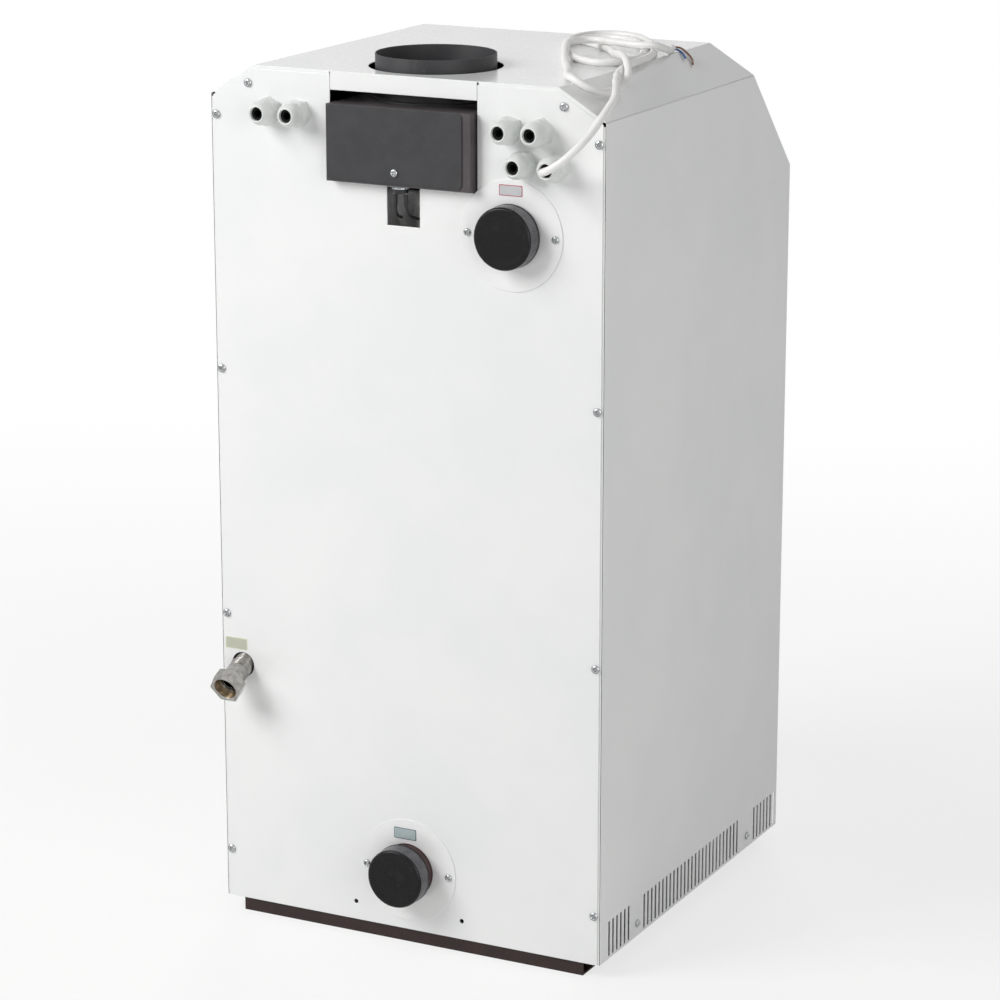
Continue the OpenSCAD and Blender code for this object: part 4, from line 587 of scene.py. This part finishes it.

# black low-density polyethylene, moulded: near black, waxy satin, its gloss softened by fine drag marks; its
# faint lighter patches are dust and painted sheen
blackPoly = makeFinish("black moulded polyethylene", {
    "colour": "0c0c0c", "shade": "101011", "cloudMm": 20, "grainMm": 1.1, "grainDetail": 3.0,
    "deepMm": 0.012, "rough": (0.22, 0.34), "ior": 1.51, "dentMm": 30, "dentDeepMm": 0.25,
    "fleck": "1a1a1b", "fleckMm": 34, "fleckFrom": 0.58, "fleckRough": 0.42, "specular": 0.22})
# the same plastic on the caps' side walls, painted mid grey: painted sheen of the bright room on the walls,
# with some scuffs
sheenPaintedPoly = makeFinish("black polyethylene painted grey as wall sheen", {
    "colour": "57575a", "shade": "434346", "cloudMm": 10, "grainMm": 1.0, "grainDetail": 3.0,
    "deepMm": 0.012, "rough": (0.24, 0.36), "ior": 1.51, "specular": 0.5})
pipeCap = {"across": 68.0, "length": 21.0, "bore": 60.9, "wall": 3.4}  # mm
capR, capL = pipeCap["across"] / 2, pipeCap["length"]
boreR, boreL = pipeCap["bore"] / 2, capL - pipeCap["wall"]
capProfile = softProfile([
    (0.01, capL - 0.5), (24, capL - 0.5), (27.5, capL), (31.4, capL), (capR - 0.6, capL - 2),
    (capR - 0.5, 3.4), (capR, 2.8), (capR, 0), (boreR, 0), (boreR, boreL), (0.01, boreL)],
    [2, 1.5, 0.8, 1.6, 0.4, 0.3, 0.5, 0.3, 0.3], 5)
for label, out in (("supply", 2.7), ("return", 12.7)):  # mm from the rear face to the cap's mouth
    x, z = pipePlaces[label]
    points, faces = stood(turned(capProfile, 128), (x, rearMm + out, z), backwards)
    moulding = meshObject(label + "_cap_moulding", points, faces, blackPoly, 40)
    settle(moulding, label + "_cap_body", "black_plastic", label + "_cap")
    # the faces of the side wall take the mid grey of painted sheen
    moulding.data.materials.append(sheenPaintedPoly)
    middles = np.empty(3 * len(moulding.data.polygons))
    moulding.data.polygons.foreach_get("center", middles)
    middles = middles.reshape(-1, 3) / millimetre - (x, rearMm + out, z)
    onWall = (np.hypot(middles[:, 0], middles[:, 2]) > capR - 1.2) & (np.abs(middles[:, 1] - 10.8) < 7.8)
    moulding.data.polygons.foreach_set("material_index", onWall.astype(np.int32))

# white polystyrene cover discs: glossier and a shade whiter than the coat
whiteStyrene = makeFinish("white moulded polystyrene", {
    "colour": "f1f1f1", "shade": "eeeeee", "cloudMm": 60, "grainMm": 3.0, "deepMm": 0.006,
    "rough": (0.12, 0.2), "ior": 1.59})
rosette = {"across": 118.5, "hole": 62.3, "thick": 1.2}  # mm
rimR, holeR = rosette["across"] / 2, rosette["hole"] / 2
discProfile = softProfile([
    (45, 0), (rimR, 0), (rimR, rosette["thick"]), (holeR, rosette["thick"]), (holeR, 0), (45, 0)], 0.35, 4)
discs = [stood(turned(discProfile, 160), (x, rearMm, z), backwards) for x, z in pipePlaces.values()]
discPair = joinedObject("pipe_cover_discs", discs, whiteStyrene, 50)
settle(discPair, "casing", "rosette_plastic", "pipe_rosettes")

# printed foil plates, left blank: a border in ink round a plain field
plates = [
    {"name": "supply_plate", "x": -127.0, "z": 856.5, "on": 1.2, "size": (27, 11.6),
     "border": "b5445c", "field": "c8c8cb"},
    {"name": "return_plate", "x": 2.8, "z": 128.5, "on": 1.2, "size": (27.5, 12.8),
     "border": "586a70", "field": "b1bec0"},
    {"name": "gas_plate", "x": 216.0, "z": 318.0, "on": 0.0, "size": (27.5, 13),
     "border": "d6dbb4", "field": "c4c5b4"}]
for plate in plates:
    width, height = plate["size"]
    for part, inset, low, thick in (("border", 0.0, 0.0, 0.3), ("field", 0.8, 0.28, 0.1)):
        ink = plate[part]
        shade = "%02x%02x%02x" % tuple(int(int(ink[i:i + 2], 16) * 0.96) for i in (0, 2, 4))
        skin = makeFinish("inked foil " + plate["name"] + " " + part, {
            "colour": ink, "shade": shade, "cloudMm": 20, "grainMm": 1.0, "deepMm": 0.005,
            "rough": (0.3, 0.42)})
        shape = roundedPlate(width - 2 * inset, height - 2 * inset, thick, 1.2, 4, 0.03)
        points, faces = stood(shape, (plate["x"], rearMm + plate["on"] + low, plate["z"]), backwards)
        settle(meshObject(plate["name"] + "_" + part, points, faces, skin), "casing", "rosette_plastic")
print("water connections are made")

# pale grey polyamide 6, injection moulded: satin, a faint green cast, small sink clouds
paleNylon = makeFinish("pale grey moulded polyamide", {
    "colour": "e1e4e1", "shade": "dadddb", "cloudMm": 12, "grainMm": 0.9, "deepMm": 0.012,
    "rough": (0.3, 0.42), "ior": 1.53})
glands = {
    "places": [
        (160.5, 919.5), (125.2, 919.5), (-125.6, 919.5), (-161.3, 919.5), (-142.4, 884.9), (-180.3, 884.9)],
    "turns": [0.1, 0.42, 0.25, 0.9, 0.6, 0.3], "flats": 27.0, "locknutFlats": 26.0}
glandShapes = {  # profiles of (radius, distance out of the rear face), mm
    "gland_bodies": [
        (7.3, 3), (7.3, -9), (11.25, -9), (11.25, 0), (17.5, 0), (17.2, 1.2), (13.8, 5.85), (9, 6), (9, 16),
        (7.3, 16), (7.3, 3)],
    "gland_nuts": [
        (9.3, 12), (9.3, 6.15), (13.7, 6.3), (14.9, 7.6), (15.1, 12.9), (13.6, 14.2), (13.35, 16),
        (12.85, 22), (11.85, 25), (10.3, 27.9), (8.5, 29.9), (7.3, 29.6), (7.3, 22), (9.3, 17), (9.3, 12)],
    "gland_locknuts": [(11.55, -3), (11.55, -6.2), (15, -6.2), (15, -1.2), (11.55, -1.2), (11.55, -3)]}
for node, corners in glandShapes.items():
    profile = softProfile(corners, 0.45, 3)
    flats = glands["locknutFlats"] if node == "gland_locknuts" else glands["flats"]
    shapes = [
        stood(turned(profile, 72, flats), (x, rearMm, z), backwards, turn)
        for (x, z), turn in zip(glands["places"], glands["turns"])]
    settle(joinedObject(node + "_moulded", shapes, paleNylon, 40), "casing", "gland_plastic", node)

# black neoprene sealing rings deep in the glands
sealRubber = makeFinish("black neoprene", {
    "colour": "0d0d0d", "shade": "121212", "cloudMm": 6, "grainMm": 0.8, "deepMm": 0.03,
    "rough": (0.6, 0.75), "ior": 1.52, "specular": 0.15})
sealProfile = softProfile([(4.3, 18), (4.3, 11), (7.0, 11), (7.0, 26.5), (4.3, 26.5), (4.3, 18)], 0.5, 4)
seals = [stood(turned(sealProfile, 48), (x, rearMm, z), backwards) for x, z in glands["places"]]
settle(joinedObject("gland_seal_rings", seals, sealRubber, 50), "casing", "seal_rubber", "gland_seals")
print("cable glands are made")

# nickel-plated brass and bright steel of the gas fittings: mirror-like, with a fine lathe mark; its dark
# clouds and patches are painted reflection, the dark corners a real room would mirror
brightPlate = makeFinish("bright nickel plate", {
    "colour": "aaa8a4", "shade": "8f8d89", "cloudMm": 7, "grainMm": 0.9, "deepMm": 0.012,
    "rough": (0.08, 0.2), "metallic": 1.0,
    "fleck": "6f6b66", "fleckMm": 6, "fleckFrom": 0.64, "fleckRough": 0.35})
# the burner's injectors, turned and left bare: warm yellow metal
brassLook = {"cloudMm": 5, "grainMm": 0.7, "deepMm": 0.02, "metallic": 1.0}
cutBrass = makeFinish("cut brass", {
    "colour": "94805f", "shade": "7d6a4c", "rough": (0.2, 0.36), **brassLook})
# the same metal in the nut's mouth: painted darker and browner as the shade in the mouth, and rough, with
# little shine left
shadedThread = makeFinish("brass thread painted dark as shade", {
    "colour": "76664f", "shade": "5c4e3c", "rough": (0.3, 0.46), **brassLook})
gasLine = {
    "origin": (208, rearMm, 294.5), "axis": (0, 0.9135, -0.4067), "pitch": 2.4, "threadPitch": 1.814,
    "nutFlats": 33.0, "ribs": 4, "ribPitch": 2.1}
gasPlace = gasLine["origin"], gasLine["axis"]


def bellows(start, end, inner, outer, pitch):
    # radius = middle + half depth * cos(2 pi height / pitch), flattened a little at its crests
    height = np.arange(start, end + 1e-6, pitch / 10)
    wave = np.cos(2 * np.pi * (height - start) / pitch)
    radius = (inner + outer) / 2 + (outer - inner) / 2 * np.tanh(1.6 * wave) / np.tanh(1.6)
    skin = np.stack([radius, height], 1)
    return np.vstack([[[inner - 0.8, start]], skin, [[inner - 0.8, height[-1]]], [[inner - 0.8, start]]])


def threadSleeve(start, end, crest, root, pitch, sides):
    # radius = crest + (root - crest) * a triangle wave of (height / pitch - angle / 2 pi): a one-start helix
    height = np.arange(start, end + 1e-6, pitch / 8)[:, None]
    angle = np.linspace(0, 2 * np.pi, sides, endpoint=False)[None, :]
    phase = (height / pitch - angle / (2 * np.pi)) % 1
    radius = crest + (root - crest) * np.clip(1.25 * np.abs(2 * phase - 1) - 0.12, 0, 1)
    radius = radius + np.clip((height - end + 1.2) / 1.2, 0, 1) * (root - radius)  # runs out at the mouth
    points = np.stack([radius * np.cos(angle), radius * np.sin(angle), height + 0 * angle], -1)
    back, ends = root + 0.15, height[[-1, 0]]  # the sleeve's plain outer side
    outer = np.stack([back * np.cos(angle) + 0 * ends, back * np.sin(angle) + 0 * ends, ends + 0 * angle], -1)
    points = np.concatenate([points, outer])
    return points.reshape(-1, 3), gridFaces(len(points), sides, closeRows=True)


hoseProfile = bellows(start=-30, end=2.7, inner=9.6, outer=11.0, pitch=gasLine["pitch"])
hose = stood(turned(hoseProfile, 64), *gasPlace)
settle(meshObject("gas_hose_bellows", *hose, brightPlate, 60), "casing", "bright_chrome", "gas_hose")
# four rolled ribs at its foot, then a plain barrel
ribs = [
    (r, 2.8 + gasLine["ribPitch"] * k + h)
    for k in range(gasLine["ribs"]) for r, h in ((11.2, 0.0), (12.4, 0.7), (12.4, 1.2), (11.2, 1.9))]
ferruleProfile = softProfile([
    (8.5, 15), (8.5, 2.7), *ribs, (12.5, 11.7), (12.5, 28.7), (11.5, 28.7), (11.5, 31.9), (8.5, 31.9),
    (8.5, 15)], 0.25, 3)
ferrule = stood(turned(ferruleProfile, 96), *gasPlace)
settle(meshObject("gas_ferrule_turned", *ferrule, brightPlate, 40), "casing", "bright_chrome", "gas_ferrule")
nutProfile = softProfile([
    (13.2, 38), (13.2, 32.7), (11.8, 32.7), (11.8, 28.7), (17.4, 28.7), (19.05, 29.6), (19.05, 43.3),
    (18.7, 43.7), (14.0, 43.7), (13.2, 43.1), (13.2, 38)], 0.3, 3)
nut = stood(turned(nutProfile, 144, gasLine["nutFlats"]), *gasPlace, np.pi / 6)
settle(meshObject("gas_union_nut_forged", *nut, brightPlate, 30), "casing", "bright_chrome", "gas_union_nut")
sleeve = threadSleeve(start=32.7, end=43.2, crest=12.25, root=13.05, pitch=gasLine["threadPitch"], sides=96)
thread = stood(sleeve, *gasPlace)
settle(meshObject("gas_union_thread", *thread, shadedThread, 30), "casing", "brass", "gas_union_nut")
dress("injectors", cutBrass, "brass", edgeMm=0.2)
print("gas connection is made")

# aluminium foil over mineral wool: crinkled, dull, dusty
woolFoil = makeFinish("foil-faced mineral wool", {
    "colour": "e4e4e5", "shade": "dad9d8", "cloudMm": 45, "grainMm": 2.5, "grainDetail": 4.0,
    "deepMm": 0.25, "rough": (0.32, 0.5), "metallic": 0.15, "dentMm": 20, "dentDetail": 3.0,
    "dentDeepMm": 2.4})
dress("insulation", woolFoil, "wool", edgeMm=2.5, segments=3)


def crumpledFoil(width, low, high, back):
    # depth over a grid of x and z: two sets of leaning ridges, |sin|, times a window that is 0 at the edges
    x, z = np.meshgrid(np.linspace(-width / 2, width / 2, 90), np.linspace(low, high, 80), indexing="ij")
    u, v = x / 7.0 + 0.5 * np.sin(z / 11.0), (z - 0.4 * x) / 17.0
    ridges = 1 - np.abs(np.sin(u + 0.6 * np.sin(v))) + 0.5 * (1 - np.abs(np.sin(1.7 * v + 0.5 * u)))
    sideways, upright = 2 * np.abs(x) / width, np.abs(2 * z - low - high) / (high - low)
    window = np.clip(1 - sideways ** 6, 0, 1) * np.clip(1 - upright ** 6, 0, 1)
    y = back + 0.3 + window * (0.8 + 2.4 * ridges)
    points = np.stack([x, y, z], -1).reshape(-1, 3) * millimetre
    return points, gridFaces(90, 80, closeColumns=False)


# the same foil where it shows through the notch: dulled by dust, its creases pressed flat, and painted a
# lighter white than the rest as painted light against the shade in the notch
paintedLightFoil = makeFinish("foil facing painted lighter in the notch", {
    "colour": "f3f2f2", "shade": "e6e4e3", "cloudMm": 16, "grainMm": 2.5, "grainDetail": 4.0,
    "deepMm": 0.12, "rough": (0.45, 0.6), "dentMm": 18, "dentDeepMm": 0.8})
foil = meshObject("crumpled_foil", *crumpledFoil(width=120, low=740, high=838, back=197.2), paintedLightFoil, 60)
sheetWall = foil.modifiers.new("foil thickness", "SOLIDIFY")
sheetWall.thickness = 0.3 * millimetre
settle(foil, "casing", "wool")
print("insulation is made")

# spark-textured dark grey lacquer of the control panel
panelLacquer = makeFinish("dark grey textured lacquer", {
    "colour": "3a3e42", "shade": "35393d", "cloudMm": 60, "grainMm": 1.1, "deepMm": 0.035,
    "rough": (0.4, 0.52)})
dress("control_fascia", panelLacquer, "dark_trim", edgeMm=0.8, segments=3)
# smoked acrylic window: almost black, mirror smooth
smokedAcrylic = makeFinish("smoked acrylic", {
    "colour": "07090b", "shade": "090c0f", "cloudMm": 30, "grainMm": 6.0, "deepMm": 0.003,
    "rough": (0.04, 0.08), "ior": 1.49, "specular": 0.35})
dress("display_window", smokedAcrylic, "window_plastic", edgeMm=0.3)
# glossy grey button caps
greyCaps = makeFinish("grey moulded button plastic", {
    "colour": "c5c9cd", "shade": "bec2c6", "cloudMm": 10, "grainMm": 0.8, "deepMm": 0.008,
    "rough": (0.2, 0.3), "ior": 1.53})
for label in ("minus", "plus", "mode"):
    dress("button_" + label, greyCaps, "button_plastic", label + "_button", edgeMm=0.35, segments=3)
panel = {
    "mid": (0.0, -203.0665, 876.35), "slope": 46.3286, "ink": 0.06,  # mm, degrees from level, mm
    "dial": -150.0, "display": -30.0, "minus": 50.0, "plus": 72.0, "mode": 94.0, "rocker": 150.0,  # X, mm
}
panelUp = np.array([0.0, np.cos(radians(panel["slope"])), np.sin(radians(panel["slope"]))])
panelOut = np.array([0.0, -panelUp[2], panelUp[1]])
inkThick = panel["ink"]


def onPanel(points):
    # from (across, up the slope, out of it) in mm to the part's frame in metres
    across = points[:, :1] * (1.0, 0, 0)
    raised = points[:, 1:2] * panelUp + points[:, 2:3] * panelOut
    return (panel["mid"] + across + raised) * millimetre


def mark(across, up, width, height, low, rise=0.0, turn=0.0):
    # a printed bar, lifted along the slope's v by rise per mm and turned about its own middle
    corners = np.array([[-1, -1], [1, -1], [1, 1], [-1, 1]]) * (width, height) / 2
    x, y = corners[:, 0], corners[:, 1]
    c, s = np.cos(turn), np.sin(turn)
    flat = np.stack([across + c * x - s * y, up + s * x + c * y], 1)
    lift = low + rise * flat[:, 1]
    points = np.vstack([np.column_stack([flat, lift + t]) for t in (0.0, inkThick)])
    return points, gridFaces(2, 4) + [[3, 2, 1, 0], [4, 5, 6, 7]]


def ringMark(across, up, radius, wide, low, rise=0.0, sides=48):
    # a printed ring: a small rectangle carried round its middle
    around = np.linspace(0, 2 * np.pi, sides, endpoint=False)
    rows = []
    inner, outer = radius - wide / 2, radius + wide / 2
    for r, t in ((inner, 0.0), (outer, 0.0), (outer, inkThick), (inner, inkThick)):
        v = up + r * np.sin(around)
        rows.append(np.stack([across + r * np.cos(around), v, low + rise * v + t], 1))
    return np.vstack(rows), gridFaces(4, sides, closeRows=True)


def numberMark(figure, across, up, tall, low):
    # a number in the plain built-in face, centred, made into a mesh as thick as the ink
    curve = bpy.data.curves.new("number", "FONT")
    curve.body = figure
    curve.size = tall
    curve.align_x = curve.align_y = "CENTER"
    curve.resolution_u = 4
    curve.extrude = inkThick / 2
    holder = bpy.data.objects.new("number", curve)
    scene.collection.objects.link(holder)
    mesh = bpy.data.meshes.new_from_object(holder.evaluated_get(bpy.context.evaluated_depsgraph_get()))
    points = np.array([v.co for v in mesh.vertices]) + (across, up, low + inkThick / 2)
    faces = [list(face.vertices) for face in mesh.polygons]
    bpy.data.objects.remove(holder)
    return points, faces


def printed(name, shapes, ink, body, slot):
    # marks of one ink, moved on to the panel as one piece
    settle(joinedObject(name, [(onPanel(points), faces) for points, faces in shapes], ink), body, slot)


# white silk-screen ink on the panel, dark ink on the buttons
inkLook = {"cloudMm": 20, "grainMm": 0.8, "deepMm": 0.004, "rough": (0.4, 0.5)}
paleInk = makeFinish("white silk-screen ink", {"colour": "dadcdc", "shade": "d2d4d4", **inkLook})
darkInk = makeFinish("dark pad-printed ink", {"colour": "2a2e33", "shade": "24282c", **inkLook})
dial = {  # mm and degrees; a tick at each step and a number at every second one
    "inner": 22.0, "tick": 2.6, "numbers": 28.4, "tall": 4.6, "steps": 12, "sweep": 270.0,
    "first": 225.0, "lowest": 30, "each": 5}
dialMarks = []
for k in range(dial["steps"] + 1):
    around = radians(dial["first"] - dial["sweep"] * k / dial["steps"])
    c, s = np.cos(around), np.sin(around)
    long = dial["tick"] if k % 2 == 0 else dial["tick"] * 0.6
    reach = dial["inner"] + long / 2
    dialMarks.append(mark(panel["dial"] + reach * c, reach * s, long, 0.5, 0.0, turn=around))
    if k % 2 == 0:
        figure = str(dial["lowest"] + dial["each"] * k)
        reach = dial["numbers"]
        dialMarks.append(numberMark(figure, panel["dial"] + reach * c, reach * s, dial["tall"], 0.0))
printed("dial_numbers", dialMarks, paleInk, "casing", "button_plastic")
# the switched-off display: two figures of seven unlit segments behind the window's face, and a printed frame
segmentInk = makeFinish("unlit display segments", {
    "colour": "23292c", "shade": "1e2427", "cloudMm": 10, "grainMm": 0.8, "deepMm": 0.002,
    "rough": (0.3, 0.4)})
display = {  # mm
    "face": -0.4, "tall": 18.0, "wide": 10.0, "bar": 1.8, "apart": 15.0,
    "frameWide": 87.6, "frameTall": 43.2, "frameLine": 0.6}
segments = []
for digit in (-0.5, 0.5):
    middle = panel["display"] + digit * display["apart"]
    for level in (-1, 0, 1):
        segments.append(mark(
            middle, level * display["tall"] / 2, display["wide"] - 3.0, display["bar"], display["face"]))
    for side in (-1, 1):
        for half in (-1, 1):
            segments.append(mark(
                middle + side * display["wide"] / 2, half * display["tall"] / 4,
                display["bar"], display["tall"] / 2 - 1.6, display["face"]))
printed("display_segments", segments, segmentInk, "casing", "window_plastic")
wide, tall, line = display["frameWide"], display["frameTall"], display["frameLine"]
frameBars = [mark(panel["display"], side * tall / 2, wide + line, line, 0.0) for side in (-1, 1)]
frameBars += [mark(panel["display"] + side * wide / 2, 0, line, tall + line, 0.0) for side in (-1, 1)]
printed("display_frame", frameBars, paleInk, "casing", "button_plastic")
buttonMarks = {
    "minus_button": [mark(panel["minus"], 0, 4.8, 0.9, 2.4)],
    "plus_button": [mark(panel["plus"], 0, 4.8, 0.9, 2.4), mark(panel["plus"], 0, 0.9, 4.8, 2.42)],
    "mode_button": [ringMark(panel["mode"], 0, 2.2, 0.8, 2.4)]}
for body, shapes in buttonMarks.items():
    printed(body + "_mark", shapes, darkInk, body, "box_plastic")
rockerMarks = [  # a bar on the half that is pressed in, a ring on the raised one
    mark(panel["rocker"], -6.2, 0.9, 4.4, 0.8, -1.4 / 11.8),
    ringMark(panel["rocker"], 6.0, 2.2, 0.8, 0.8, 3.6 / 11.8)]
printed("rocker_marks", rockerMarks, paleInk, "rocker", "button_plastic")
printed("knob_pointer", [mark(panel["dial"], 9.0, 1.2, 8.0, 16.4)], paleInk, "knob", "button_plastic")
dress("rocker_switch", blackPoly, "black_plastic", "rocker", segments=3)
dress("thermostat_knob", blackPoly, "black_plastic", "knob", edgeMm=0.35)
dress("door_catch", blackPoly, "black_plastic")
dress("valve_knob", blackPoly, "black_plastic", "gas_knob")
# satin dark grey of moulded ABS, a fine spark texture
housingAbs = makeFinish("dark moulded ABS", {
    "colour": "2f3338", "shade": "2a2e33", "cloudMm": 30, "grainMm": 1.0, "deepMm": 0.02,
    "rough": (0.38, 0.5), "ior": 1.54})
dress("control_box", housingAbs, "box_plastic")
# green lacquer over the board's glass weave: glossy, a little uneven
solderMask = makeFinish("green solder mask on epoxy glass", {
    "colour": "2d6a3c", "shade": "285f36", "cloudMm": 12, "grainMm": 1.2, "deepMm": 0.01,
    "rough": (0.25, 0.35), "ior": 1.55})
dress("control_board", solderMask, "board", edgeMm=0.2)

# stainless burner tubes, brushed along and tinted straw by the flame
brushedStainless = makeFinish("brushed stainless steel", {
    "colour": "aaa49b", "shade": "98907f", "cloudMm": 30, "grainMm": 0.9, "deepMm": 0.012,
    "rough": (0.26, 0.4), "metallic": 1.0, "stretch": (1.0, 0.08, 1.0)})
dress("burner_tubes", brushedStainless, "burner_steel", edgeMm=0.2)
dress("turbulators", brushedStainless, "burner_steel", edgeMm=0.2)
# unpolished die-cast aluminium of the gas valve: dull grey, finely pitted
castAlloy = makeFinish("die-cast aluminium", {
    "colour": "9a9fa3", "shade": "8d9195", "cloudMm": 10, "grainMm": 0.9, "grainDetail": 3.0,
    "deepMm": 0.04, "rough": (0.42, 0.55), "metallic": 1.0})
dress("gas_valve", castAlloy, "valve_alloy", edgeMm=0.7, segments=3)
# glazed white electrode ceramic: creamy and glossy
glazedCeramic = makeFinish("glazed ceramic", {
    "colour": "e8e4da", "shade": "ded9cd", "cloudMm": 8, "grainMm": 1.0, "deepMm": 0.01,
    "rough": (0.1, 0.2), "ior": 1.55})
dress("ignition_electrodes", glazedCeramic, "ceramic", edgeMm=0.3)
# tempered sight glass with a greenish body
sightGlass = makeFinish("tempered sight glass", {
    "colour": "b9c8c4", "shade": "b2c2be", "cloudMm": 20, "grainMm": 5.0, "deepMm": 0.002,
    "rough": (0.02, 0.05), "ior": 1.52, "glass": 0.85})
dress("sight_glass", sightGlass, "sight_glass", edgeMm=0.25)
print("controls and burner are dressed")
